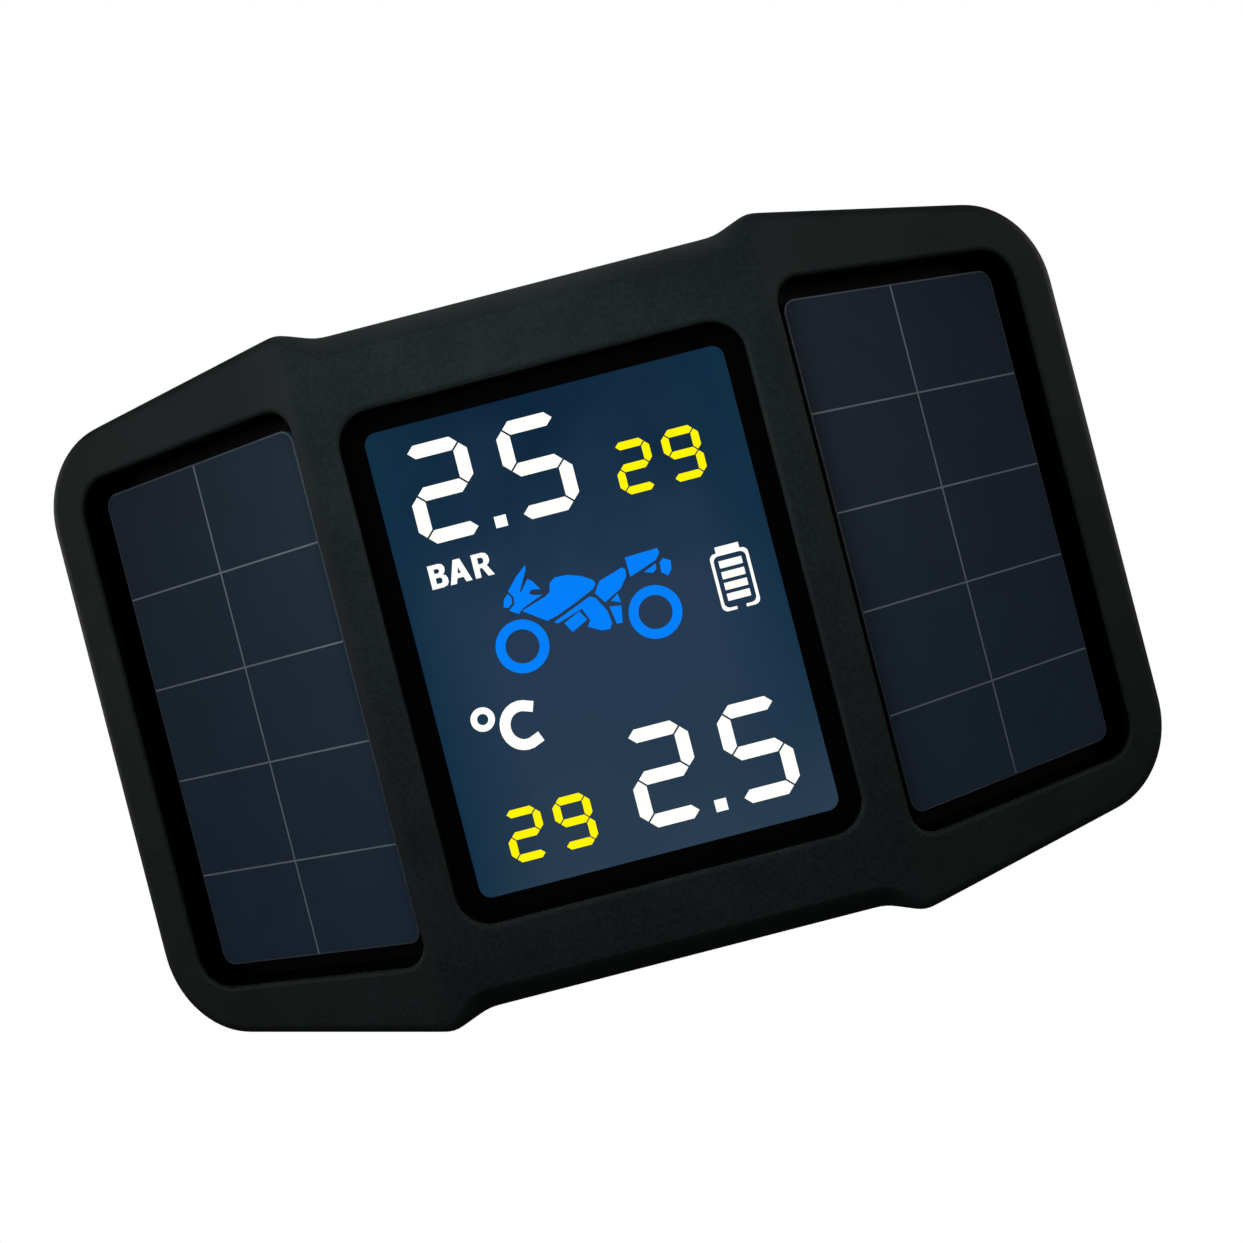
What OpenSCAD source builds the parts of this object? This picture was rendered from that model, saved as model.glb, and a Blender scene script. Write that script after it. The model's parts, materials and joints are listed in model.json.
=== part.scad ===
// Tyre pressure monitor: a flat display section between two swept-back solar wings.
// Working coordinates: x to the right, y is the depth behind the display face, z up from mid-height.
// seat() then stands the assembly on its lower crests with the origin under its middle.

/* [Body] */
// Width over the two wing ends
body_w = 97; // [96:0.5:98]
// Height over the crests at the two folds
body_h = 60; // [60:0.5:62]
// Height of the display section between the crests
centre_h = 58.2; // [58:0.1:58.6]
// Depth from the display face to the rear face
body_d = 24; // [24:0.5:26]
// Depth at which the front housing meets the rear cover
split_d = 19.5; // [19.5:0.1:20]
// Wall thickness of the front housing
wall = 2; // [1.8:0.1:2]

/* [Wings] */
// Distance from the middle to each fold
fold_x = 20.3; // [20:0.1:20.5]
// Angle at which each wing sweeps back
wing_angle = 30; // [29:0.5:30]
// Angle at which the wing's upper and lower edges close in
wing_taper = 4; // [3:0.5:5]
// Radius of the wing's outer corners
wing_corner_r = 8; // [7:0.5:9]

/* [Display] */
// Width of the opening in the face
opening_w = 34.9; // [34:0.1:35]
// Height of the opening in the face
opening_h = 44.1; // [43:0.1:45]
// Corner radius of the opening
opening_r = 3; // [2.5:0.1:3.5]

/* [Solar panels] */
// Panel width, measured along the wing
panel_w = 24.3; // [23:0.1:24.4]
// Panel height
panel_h = 45.2; // [44:0.1:46]
// Depth of the panel's face under the wing's face
panel_sunk = 2.14; // [2:0.02:2.2]

/* [Rear mount] */
// Distance between the two threaded inserts
insert_spacing = 38; // [38:0.5:40]
// Minor radius of the inserts' M4 thread
insert_bore_r = 1.65; // [1.6:0.01:1.7]
// Height of the mounting pad over the rear face
pad_rise = 1; // [0.8:0.1:1.2]

/* [Moving parts] */
// Set button's stroke
button_travel = 0.4; // [0.3:0.05:0.5]

/* [Hidden] */
$fn = 48;

// Outline of the housing seen from the front
half_w = body_w / 2;
half_h = body_h / 2;
centre_half = centre_h / 2;
face_half = centre_half - 2.2;
crest_face_half = half_h - 1.1;
notch_x = fold_x - 3;
face_round_d = 2.2;
wing_edge = 1;
corner_steps = 8;

// Slope of a wing: depth gained for each unit of width
slope = tan(wing_angle);
wing_wall = wall / cos(wing_angle);

// Pocket for a solar panel, seen from the front
pocket_in = 20.95;
pocket_out = 44.5;
pocket_half = 24.05;
pocket_wall = 1.2;
panel_t = 1;
panel_tape_t = 0.4;
panel_start = 2.7;
panel_r = 1.3;
pocket_floor_n = panel_sunk + panel_t + panel_tape_t;
pocket_floor = pocket_floor_n / cos(wing_angle);
pocket_bottom = (pocket_floor_n + 1.1) / cos(wing_angle);
lead_hole_s = 11;
lead_hole_r = 1.3;
pocket_r_in = 2.2;
pocket_r_out = 3.2;

// Display stack, as depths behind the face
lens_wall = 1.5;
tape_t = 0.15;
lens_d = lens_wall + tape_t;
lens_t = 1.2;
lens_back = lens_d + lens_t;
lens_half_w = 19.3;
lens_half_h = 24;
lens_r = 1.5;
lens_gap = 0.2;
glass_d = lens_back + 0.2;
glass_t = 1.8;
glass_half_w = 17.6;
glass_half_h = 22.9;
light_t = 2;
light_back = glass_d + glass_t + light_t;
lcd_frame_back = 8.6;
frame_half_h = 24.2;
led_x = [-10, 0, 10];
ribbon_x = -12;
ribbon_w = 10;
ribbon_t = 0.2;
ribbon_d = 4;
ribbon_bend = 25.6;
connector_z = -22.6;

// Circuit board
board_d = 8.6;
board_t = 1.6;
board_back = board_d + board_t;
board_half_w = 24;
board_half_h = 24.5;
board_screw_x = 21.5;
board_screw_z = 21.5;
board_screw_r = 0.8;
board_screw_len = 3.6;
board_head_r = 1.5;
board_head_h = 0.9;

// Case screws, M2 by 8
screw_x = 34;
screw_z = 18;
screw_r = 1;
screw_seat = 22.4;
screw_len = 8;
screw_head_r = 1.9;
screw_head_h = 1.3;
screw_bore_r = 1.15;
counterbore_r = 2.2;
recess_w = 0.5;
recess_len = 2.2;
recess_depth = 0.6;
post_r = 3.1;
boss_front_r = 2.6;
board_boss_r = 1.9;
fit_gap = 0.02;

// Rear cover
rear_wall = 2;
rear_inner = body_d - rear_wall;
rim_wall = 2.4;
rear_round = 1.8;
pad_half_w = 26;
pad_half_h = 11;
insert_r = 2.9;
insert_len = 6;
boss_r = 4.2;
seal_in = 1.8;
seal_out = 0.8;
seal_t = 1;

// Battery
battery_w = 28;
battery_h = 40;
battery_t = 5;
battery_z = 4.5;
battery_d = rear_inner - 0.4 - battery_t;
lead_exit_d = 19;

// Helical antenna
coil_r = 2.2;
coil_wire_r = 0.35;
coil_pitch = 1.6;
coil_turns = 8;
coil_steps = 12;
coil_sides = 6;
coil_start = -21;
coil_d = board_back + 2.7;
coil_z = 17.5;

// Direction that no wire in the housing runs along
tube_reference = [0.31, 0.52, -0.8];

// Charging port and its cover
port_z = -21.5;
port_w = 8.94;
port_h = 3.2;
port_len = 10.4;
port_back = board_back + port_len;
well_w = 12.4;
well_h = 6.6;
well_floor = port_back;
cover_w = 16;
cover_t = 1.15;
hinge_z = port_z - 3.9;
hinge_d = body_d - 0.9;
hinge_r = 0.9;
cover_top = port_z + 4.7;
cover_gap = 0.3;
lip_gap = 0.4;
lip_t = 0.8;
lip_depth = 1;
notch_half_w = 3;
pin_r = 0.4;
pin_half_len = cover_w / 2 + 1.2;

// Set button on the top edge
button_d = board_back + 1.5;
button_w = 10;
button_h = 3.6;
button_proud = 0.5;
button_chamfer = 0.25;
button_clear = 0.05;
flange_rim = 0.8;
stem_r = 1.5;
flange_t = 0.75;
button_seat = centre_half - wall;
switch_z = 21.6;
switch_h = 3.2;
plunger_r = 0.9;
plunger_top = 25.5;
plunger_h = 1.2;
switch_half_w = 3;
switch_d = board_back + 3;

// Stands the assembly on its lower crests, centred over the origin
module seat() {
    translate([0, -(body_d + pad_rise) / 2, half_h]) children();
}

// Prism through the depth, from an outline of [x, z] points
module slab(points, d0, d1) {
    translate([0, d1, 0]) rotate([90, 0, 0]) linear_extrude(d1 - d0) polygon(points);
}

// Box given by its limits
module block(x0, x1, d0, d1, z0, z1) {
    translate([x0, d0, z0]) cube([x1 - x0, d1 - d0, z1 - z0]);
}

// Round bar through the depth
module rod(x, z, d0, d1, r) {
    translate([x, d1, z]) rotate([90, 0, 0]) cylinder(r = r, h = d1 - d0);
}

// Everything in it, once as drawn and once mirrored to the left
module both_sides() {
    children();
    mirror([1, 0, 0]) children();
}

// Local frame of the right wing: x along the slope, y into the body, z up
module on_wing(side) {
    mirror([side < 0 ? 1 : 0, 0, 0])
        translate([fold_x, 0, 0]) rotate([0, 0, wing_angle]) children();
}

// Points on an arc, from angle a to angle b
function arc(cx, cz, r, a, b, steps) =
    [for (i = [0:steps]) [cx + r * cos(a + (b - a) * i / steps), cz + r * sin(a + (b - a) * i / steps)]];

// Rectangle with its own radius at the inner and the outer corners
function round_rect(x0, x1, half, r_in, r_out) = concat(
    arc(x1 - r_out, -half + r_out, r_out, -90, 0, 8), arc(x1 - r_out, half - r_out, r_out, 0, 90, 8),
    arc(x0 + r_in, half - r_in, r_in, 90, 180, 8), arc(x0 + r_in, -half + r_in, r_in, 180, 270, 8));

function mirror_z(points) = [for (i = [len(points) - 1:-1:0]) [points[i][0], -points[i][1]]];
function mirror_x(points) = [for (i = [len(points) - 1:-1:0]) [-points[i][0], points[i][1]]];

// Upper right stretch of the outline from the crest to the wing's end, inset by a margin
corner_cz = half_h - (half_w - wing_corner_r - fold_x) * tan(wing_taper) - wing_corner_r / cos(wing_taper);
function wing_top(inset) =
    concat(arc(half_w - wing_corner_r, corner_cz, wing_corner_r - inset, 0, 90 - wing_taper, corner_steps),
        [[fold_x, half_h - inset / cos(wing_taper)]]);

// Right wing's outline, from the fold outwards
function wing_shape(inset) = concat(mirror_z(wing_top(inset)), wing_top(inset));

// Right wing's outline with the crest's inner flank
function wing_root(inset) = concat([[notch_x, -centre_half + inset]], wing_shape(inset),
    [[notch_x, centre_half - inset]]);

// Whole outline
function outline(inset) = concat(
    mirror_z(concat(wing_top(inset), [[notch_x, centre_half - inset]])),
    concat(wing_top(inset), [[notch_x, centre_half - inset]]),
    mirror_x(concat(mirror_z(concat(wing_top(inset), [[notch_x, centre_half - inset]])),
        concat(wing_top(inset), [[notch_x, centre_half - inset]]))));

// A front outline laid on the wing at depth n under its face
function on_slope(points, n) =
    [for (p = points) [(p[0] - fold_x + n * sin(wing_angle)) / cos(wing_angle), p[1]]];

module wing_layer(inset, n) {
    translate([fold_x, 0, 0]) rotate([0, 0, wing_angle]) translate([0, n + 0.3, 0]) rotate([90, 0, 0])
        linear_extrude(0.3) polygon(on_slope(wing_shape(inset), n));
}

// Layer of the wing between two depths under its face
module wing_band(top, bottom) {
    translate([0, 0, -half_h]) linear_extrude(body_h) polygon([
        [0, top - fold_x * slope], [half_w + 5, top + (half_w + 5 - fold_x) * slope],
        [half_w + 5, bottom + (half_w + 5 - fold_x) * slope], [0, bottom - fold_x * slope]]);
}

// Solid wing of the front housing, with the crest
module wing_solid() {
    hull() {
        slab([[notch_x, -face_half], [fold_x, -crest_face_half], [fold_x, crest_face_half],
            [notch_x, face_half]], 0, 0.3);
        slab([[notch_x, -centre_half], [fold_x, -half_h], [fold_x, half_h], [notch_x, centre_half]],
            face_round_d, split_d);
        wing_layer(wing_edge, 0);
        wing_layer(0, 1.1);
        slab(wing_root(0), split_d - 0.5, split_d);
    }
}

// Solid display section of the front housing
module centre_solid() {
    hull() {
        block(-fold_x, fold_x, 0, 0.5, -face_half, face_half);
        block(-fold_x, fold_x, face_round_d, split_d, -centre_half, centre_half);
    }
}

// Hollow of the front housing, parallel to its faces
module housing_hollow() {
    inner_w = half_w - wall;
    fold_in = fold_x - (wing_wall - wall) / slope;
    intersection() {
        slab(outline(wall), 0, split_d + 1);
        translate([0, 0, -half_h]) linear_extrude(body_h) polygon([
            [-inner_w, split_d + 1], [-inner_w, wing_wall + (inner_w - fold_x) * slope], [-fold_in, wall],
            [fold_in, wall], [inner_w, wing_wall + (inner_w - fold_x) * slope], [inner_w, split_d + 1]]);
    }
}

module front_housing() color([0.035, 0.037, 0.04]) seat() difference() {
    union() {
        difference() {
            union() {
                centre_solid();
                both_sides() wing_solid();
            }
            housing_hollow();
        }
        both_sides() intersection() {
            slab(round_rect(pocket_in - pocket_wall, pocket_out + pocket_wall, pocket_half + pocket_wall,
                pocket_r_in + pocket_wall, pocket_r_out + pocket_wall), 0, split_d);
            wing_band(1, pocket_bottom);
        }
        both_sides() for (z = [-screw_z, screw_z])
            rod(screw_x, z, pocket_bottom + (screw_x - fold_x) * slope - 1, split_d, boss_front_r);
        both_sides() for (z = [-board_screw_z, board_screw_z])
            rod(board_screw_x, z, pocket_bottom + 0.2, board_d, board_boss_r);
    }
    // Window and the recess that the lens lies in
    slab(round_rect(-opening_w / 2, opening_w / 2, opening_h / 2, opening_r, opening_r), -1, wall + 1);
    slab(round_rect(-lens_half_w, lens_half_w, lens_half_h, lens_r, lens_r), lens_wall, wall + 1);
    both_sides() {
        intersection() {
            slab(round_rect(pocket_in, pocket_out, pocket_half, pocket_r_in, pocket_r_out), -1, split_d);
            wing_band(-4, pocket_floor);
        }
        translate([fold_x, 0, 0]) rotate([0, 0, wing_angle]) rod(lead_hole_s, 0, 3, 6, lead_hole_r);
        for (z = [-screw_z, screw_z]) rod(screw_x, z, screw_seat - screw_len - 0.3, split_d + 1, screw_r);
        for (z = [-board_screw_z, board_screw_z])
            rod(board_screw_x, z, board_d - 2.2, board_d + 1, board_screw_r);
    }
    // Slot for the set button in the top wall
    button_prism(0.2, button_seat - 1, half_h + 1);
}

// Upright prism with round ends, shared by the button and its slot
module button_prism(gap, z0, z1) {
    translate([0, button_d, z0]) {
        for (x = [-1, 1]) translate([x * (button_w - button_h) / 2, 0, 0])
            cylinder(r = button_h / 2 + gap, h = z1 - z0);
        translate([-(button_w - button_h) / 2, -button_h / 2 - gap, 0])
            cube([button_w - button_h, button_h + 2 * gap, z1 - z0]);
    }
}

// Solid rear cover before it is hollowed
module rear_solid() {
    for (part = [-1, 0, 1]) hull() {
        if (part == 0) {
            block(-fold_x, fold_x, split_d, body_d - rear_round, -centre_half, centre_half);
            block(-fold_x, fold_x, split_d, body_d, -centre_half + rear_round, centre_half - rear_round);
        } else mirror([part < 0 ? 1 : 0, 0, 0]) {
            slab(wing_root(0), split_d, body_d - rear_round);
            slab(wing_root(rear_round), split_d, body_d);
        }
    }
}

module rear_cover() color([0.045, 0.046, 0.048]) seat() difference() {
    union() {
        difference() {
            rear_solid();
            slab(outline(rim_wall), split_d - 1, rear_inner);
        }
        slab(round_rect(-pad_half_w, pad_half_w, pad_half_h, 3, 3), body_d - 0.5, body_d + pad_rise);
        both_sides() {
            rod(insert_spacing / 2, 0, body_d + pad_rise - insert_len - 0.5, rear_inner + 0.5, boss_r);
            for (z = [-screw_z, screw_z]) rod(screw_x, z, split_d, rear_inner + 0.5, post_r);
        }
        block(-well_w / 2 - 1.2, well_w / 2 + 1.2, well_floor - 1.2, rear_inner + 0.5,
            port_z - well_h / 2 - 1.2, port_z + well_h / 2 + 1.2);
        block(-pin_half_len - 0.6, pin_half_len + 0.6, hinge_d - 2.2, rear_inner + 0.5,
            -centre_half + 1, hinge_z + 2);
    }
    difference() {
        slab(outline(seal_out), split_d - 1, split_d + seal_t);
        slab(outline(seal_in), split_d - 2, split_d + seal_t + 1);
    }
    both_sides() {
        rod(insert_spacing / 2, 0, body_d + pad_rise - insert_len, body_d + pad_rise + 1, insert_r);
        for (z = [-screw_z, screw_z]) {
            rod(screw_x, z, split_d - 1, body_d, screw_bore_r);
            rod(screw_x, z, screw_seat, body_d + 1, counterbore_r);
        }
    }
    // Well around the charging port, then the rebate, groove and pin holes of its cover
    translate([0, 0, port_z]) slab(round_rect(-well_w / 2, well_w / 2, well_h / 2, 1, 1),
        well_floor, body_d + 1);
    translate([0, 0, port_z]) slab(port_shape(0.05), well_floor - 2, well_floor + 1);
    block(-cover_w / 2 - cover_gap, cover_w / 2 + cover_gap, body_d - cover_t - 0.05, body_d + 1,
        hinge_z - 1.3, cover_top + cover_gap);
    bar_x(-cover_w / 2 - cover_gap, cover_w / 2 + cover_gap, hinge_d, hinge_z, hinge_r + 0.1);
    bar_x(-pin_half_len, pin_half_len, hinge_d, hinge_z, pin_r);
}

module housing_seal() color([0.02, 0.02, 0.02]) seat() difference() {
    slab(outline(seal_out), split_d, split_d + seal_t);
    slab(outline(seal_in), split_d - 1, split_d + seal_t + 1);
}

// Lens in plan, smaller than its recess by lens_gap
function lens_outline() = round_rect(-lens_half_w + lens_gap, lens_half_w - lens_gap,
    lens_half_h - lens_gap, lens_r - lens_gap, lens_r - lens_gap);

module display_lens() color([0.6, 0.65, 0.7, 0.4]) seat()
    slab(lens_outline(), lens_d, lens_back);

module lens_tape() color([0.02, 0.02, 0.02]) seat() difference() {
    slab(lens_outline(), lens_wall, lens_d);
    slab(round_rect(-opening_w / 2 - 0.3, opening_w / 2 + 0.3, opening_h / 2 + 0.3, opening_r, opening_r),
        0, wall + 1);
}

module lcd_glass() color([0.05, 0.16, 0.28]) seat()
    block(-glass_half_w, glass_half_w, glass_d, glass_d + glass_t, -glass_half_h, glass_half_h);

module backlight_panel() color([0.9, 0.92, 0.95]) seat() difference() {
    block(-glass_half_w, glass_half_w, glass_d + glass_t, light_back, -glass_half_h, glass_half_h);
    for (x = led_x)
        block(x - 1.6, x + 1.6, glass_d, light_back + 1, glass_half_h - 1.1, glass_half_h + 1);
}

module backlight_leds() color([0.95, 0.9, 0.6]) seat() for (x = led_x)
    block(x - 1.5, x + 1.5, light_back - 1, light_back, glass_half_h - 1.1, glass_half_h - 0.1);

module lcd_frame() color([0.85, 0.86, 0.86]) seat() difference() {
    block(-19, 19, lens_back, lcd_frame_back, -frame_half_h, frame_half_h);
    block(-glass_half_w - 0.1, glass_half_w + 0.1, lens_back - 1, light_back,
        -glass_half_h - 0.1, glass_half_h + 0.1);
    block(-15, 15, 0, board_d + 1, -20, 20);
    block(ribbon_x - ribbon_w / 2 - 0.2, ribbon_x + ribbon_w / 2 + 0.2, ribbon_d - 0.2, ribbon_d + 0.4,
        -frame_half_h - 1, -glass_half_h);
}

// Flat ribbon from the glass's lower edge, round the board's edge to its connector
module lcd_ribbon() color([0.75, 0.45, 0.15]) seat() {
    x0 = ribbon_x - ribbon_w / 2;
    x1 = ribbon_x + ribbon_w / 2;
    block(x0, x1, ribbon_d, ribbon_d + ribbon_t, -ribbon_bend, -glass_half_h);
    block(x0, x1, ribbon_d, board_back + 1.2, -ribbon_bend - ribbon_t, -ribbon_bend);
    block(x0, x1, board_back + 1, board_back + 1.2, -ribbon_bend, connector_z);
}

module ribbon_connector() color([0.9, 0.9, 0.85]) seat()
    block(ribbon_x - ribbon_w / 2 - 0.6, ribbon_x + ribbon_w / 2 + 0.6, board_back, board_back + 1.8,
        connector_z, connector_z + 3);

module main_board() color([0.05, 0.3, 0.15]) seat() difference() {
    slab(round_rect(-board_half_w, board_half_w, board_half_h, 1.5, 1.5), board_d, board_back);
    for (x = [-board_screw_x, board_screw_x], z = [-board_screw_z, board_screw_z])
        rod(x, z, board_d - 1, board_back + 1, board_screw_r + 0.1);
}

// Chip lying on the board's rear face
module chip(x, z, w, h, t) {
    block(x - w / 2, x + w / 2, board_back, board_back + t, z - h / 2, z + h / 2);
}

module microcontroller() color([0.08, 0.08, 0.08]) seat() chip(-4, 2, 9, 9, 1.2);
module radio_receiver() color([0.08, 0.08, 0.08]) seat() chip(-13, 8, 5, 5, 0.9);
module crystal() color([0.75, 0.75, 0.75]) seat() chip(-13, 1.5, 3.2, 2.5, 0.8);
module charge_controller() color([0.08, 0.08, 0.08]) seat() chip(12, -16, 3.2, 3, 1.1);
module motion_sensor() color([0.15, 0.15, 0.15]) seat() chip(5, 12, 2.2, 2.2, 0.9);

module power_inductor() color([0.3, 0.3, 0.32]) seat() rod(13, -1, board_back, board_back + 2.6, 2.6);

module chip_capacitors() color([0.65, 0.5, 0.35]) seat()
    for (i = [0:4]) chip(3 * i, -11, 1.6, 2.6, 1.2);

module buzzer() color([0.1, 0.1, 0.1]) seat() difference() {
    rod(12, 12, board_back, board_back + 2.4, 4.5);
    rod(12, 12, board_back + 1.2, board_back + 3, 0.8);
}

// Tube swept along a list of points, with a ring square to the path at each one
function unit(v) = v / norm(v);
function heading(p, i) = unit((i < len(p) - 1 ? unit(p[i + 1] - p[i]) : [0, 0, 0])
    + (i > 0 ? unit(p[i] - p[i - 1]) : [0, 0, 0]));
function ring(centre, along, r, sides) =
    let (u = unit(cross(along, tube_reference)), v = cross(along, u))
    [for (k = [0:sides - 1]) centre + r * (cos(360 * k / sides) * u + sin(360 * k / sides) * v)];

module tube(path, r, sides) {
    last = len(path) - 1;
    points = [for (i = [0:last]) each ring(path[i], heading(path, i), r, sides)];
    skin = [for (i = [0:last - 1], k = [0:sides - 1])
        let (a = i * sides + k, b = i * sides + (k + 1) % sides)
        each [[a, b, b + sides], [a, b + sides, a + sides]]];
    start_cap = [for (k = [sides - 1:-1:0]) k];
    end_cap = [for (k = [0:sides - 1]) last * sides + k];
    polyhedron(points, concat(skin, [start_cap, end_cap]));
}

module antenna_coil() color([0.8, 0.45, 0.25]) seat()
    tube([for (i = [0:coil_turns * coil_steps]) let (a = 360 * i / coil_steps)
        [coil_start + coil_pitch * a / 360, coil_d - coil_r * cos(a), coil_z + coil_r * sin(a)]],
        coil_wire_r, coil_sides);

module board_screws() color([0.7, 0.7, 0.7]) seat()
    for (x = [-board_screw_x, board_screw_x], z = [-board_screw_z, board_screw_z]) {
        rod(x, z, board_back - board_screw_len, board_back, board_screw_r - fit_gap);
        rod(x, z, board_back, board_back + board_head_h, board_head_r);
    }

module battery() color([0.7, 0.72, 0.75]) seat() translate([0, 0, battery_z])
    slab(round_rect(-battery_w / 2, battery_w / 2, battery_h / 2, 2, 2), battery_d, battery_d + battery_t);

module battery_tape() color([0.95, 0.95, 0.9]) seat() translate([0, 0, battery_z])
    slab(round_rect(-battery_w / 2 + 2, battery_w / 2 - 2, battery_h / 2 - 2, 1, 1),
        battery_d + battery_t, rear_inner);

module battery_leads() color([0.6, 0.05, 0.05]) seat() for (i = [0, 1])
    tube([[9 + 3 * i, lead_exit_d, battery_z - battery_h / 2], [9 + 3 * i, lead_exit_d, -16.6 + i],
        [9.6 + 3 * i, lead_exit_d - 0.6, -17.2 + i], [17 + 2 * i, 13.6 + i, -17.2 + i],
        [17.5 + 2 * i, board_back + 2 + i, -16.8 + i], [17.5 + 2 * i, board_back + 1.5, -15.6 + i],
        [17.5 + 2 * i, board_back + 1.5, -12]], 0.5, 8);

module battery_connector() color([0.95, 0.95, 0.95]) seat()
    block(16, 21, board_back, board_back + 3, -12, -6);

module solar_panel(side) on_wing(side)
    slab(round_rect(panel_start, panel_start + panel_w, panel_h / 2, panel_r, panel_r),
        panel_sunk, panel_sunk + panel_t);

module panel_tape(side) on_wing(side) difference() {
    slab(round_rect(panel_start + 1, panel_start + panel_w - 1, panel_h / 2 - 1, 1, 1),
        panel_sunk + panel_t, pocket_floor_n);
    rod(lead_hole_s, 0, 0, pocket_floor_n + 1, lead_hole_r);
}

// Two wires from a panel's rear, through the pocket floor, to the board
module panel_leads(side) mirror([side < 0 ? 1 : 0, 0, 0]) for (z = [-0.6, 0.6])
    tube([slope_point(lead_hole_s, panel_sunk + panel_t, z), slope_point(lead_hole_s, 6.4, z),
        slope_point(lead_hole_s - 0.4, 7.2, z), [23.4, board_back + 2.2, 1.5 * z],
        [22.7, board_back + 1.6, 1.5 * z], [22.6, board_back, 1.5 * z]], 0.4, 8);

// Point at s along the right wing and n under its face
function slope_point(s, n, z) =
    [fold_x + s * cos(wing_angle) - n * sin(wing_angle), s * sin(wing_angle) + n * cos(wing_angle), z];

module solar_panel_left() color([0.03, 0.06, 0.12]) seat() solar_panel(-1);
module solar_panel_right() color([0.03, 0.06, 0.12]) seat() solar_panel(1);
module panel_tape_left() color([0.1, 0.1, 0.1]) seat() panel_tape(-1);
module panel_tape_right() color([0.1, 0.1, 0.1]) seat() panel_tape(1);
module panel_leads_left() color([0.6, 0.05, 0.05]) seat() panel_leads(-1);
module panel_leads_right() color([0.6, 0.05, 0.05]) seat() panel_leads(1);

// Outline of the charging port, round at both ends
function port_shape(gap) =
    round_rect(-port_w / 2 - gap, port_w / 2 + gap, port_h / 2 + gap, 1.5 + gap, 1.5 + gap);

module usb_shell() color([0.75, 0.75, 0.76]) seat() translate([0, 0, port_z]) difference() {
    slab(port_shape(0), board_back, port_back);
    slab(port_shape(-0.3), board_back + 1.4, port_back + 1);
}

module usb_tongue() color([0.05, 0.05, 0.05]) seat()
    block(-3.35, 3.35, board_back + 1.4, port_back - 0.7, port_z - 0.35, port_z + 0.35);

// Outline inside the port well, inset by a margin
function lip_outline(inset, r) =
    round_rect(-well_w / 2 + inset, well_w / 2 - inset, well_h / 2 - inset, r, r);

// Rubber flap over the port well, with a lip that plugs the well and a knuckle on the pin
module usb_cover() color([0.03, 0.03, 0.03]) seat() difference() {
    union() {
        block(-cover_w / 2, cover_w / 2, body_d - cover_t, body_d, hinge_z, cover_top);
        bar_x(-cover_w / 2, cover_w / 2, hinge_d, hinge_z, hinge_r);
        translate([0, 0, port_z]) difference() {
            slab(lip_outline(lip_gap, 0.8), body_d - cover_t - lip_depth, body_d - cover_t);
            slab(lip_outline(lip_gap + lip_t, 0.4), body_d - cover_t - 2 * lip_depth, body_d - cover_t);
        }
    }
    bar_x(-cover_w, cover_w, hinge_d, hinge_z, pin_r + 0.05);
    block(-notch_half_w, notch_half_w, body_d - 0.4, body_d + 1, cover_top - 1, cover_top + 1);
}

module cover_pin() color([0.75, 0.75, 0.75]) seat()
    bar_x(-pin_half_len, pin_half_len, hinge_d, hinge_z, pin_r);

// Round bar across the width
module bar_x(x0, x1, d, z, r) {
    translate([x0, d, z]) rotate([0, 90, 0]) cylinder(r = r, h = x1 - x0);
}

module set_button() color([0.06, 0.06, 0.06]) seat() {
    flange_top = button_seat - button_clear;
    button_prism(0, flange_top, centre_half + button_proud - button_chamfer);
    button_prism(-button_chamfer, button_seat, centre_half + button_proud);
    block(-button_w / 2 - 1, button_w / 2 + 1, button_d - button_h / 2 - flange_rim,
        button_d + button_h / 2 + flange_rim, flange_top - flange_t, flange_top);
    translate([0, button_d, plunger_top]) cylinder(r = stem_r, h = flange_top - flange_t - plunger_top);
}

module switch_plunger() color([0.85, 0.85, 0.8]) seat() translate([0, button_d, plunger_top - plunger_h])
    cylinder(r = plunger_r, h = plunger_h);

module switch_body() color([0.1, 0.1, 0.1]) seat() difference() {
    block(-switch_half_w, switch_half_w, board_back, switch_d, switch_z, switch_z + switch_h);
    translate([0, button_d, plunger_top - plunger_h - button_travel - 0.1])
        cylinder(r = plunger_r + 0.1, h = switch_h);
}

module switch_frame() color([0.7, 0.7, 0.7]) seat()
    block(-switch_half_w, switch_half_w, switch_d, switch_d + 0.2, switch_z, switch_z + switch_h);

module case_screws() color([0.7, 0.7, 0.72]) seat()
    for (x = [-screw_x, screw_x], z = [-screw_z, screw_z]) {
        rod(x, z, screw_seat - screw_len, screw_seat, screw_r - fit_gap);
        difference() {
            rod(x, z, screw_seat, screw_seat + screw_head_h, screw_head_r);
            for (a = [0, 90]) translate([x, screw_seat + screw_head_h - recess_depth, z]) rotate([0, a, 0])
                translate([-recess_w / 2, 0, -recess_len / 2]) cube([recess_w, 1, recess_len]);
        }
    }

module bracket_inserts() color([0.8, 0.62, 0.3]) seat() for (x = [-1, 1]) difference() {
    rod(x * insert_spacing / 2, 0, body_d + pad_rise - insert_len, body_d + pad_rise, insert_r);
    rod(x * insert_spacing / 2, 0, body_d + pad_rise - insert_len - 1, body_d + pad_rise + 1, insert_bore_r);
}

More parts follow.
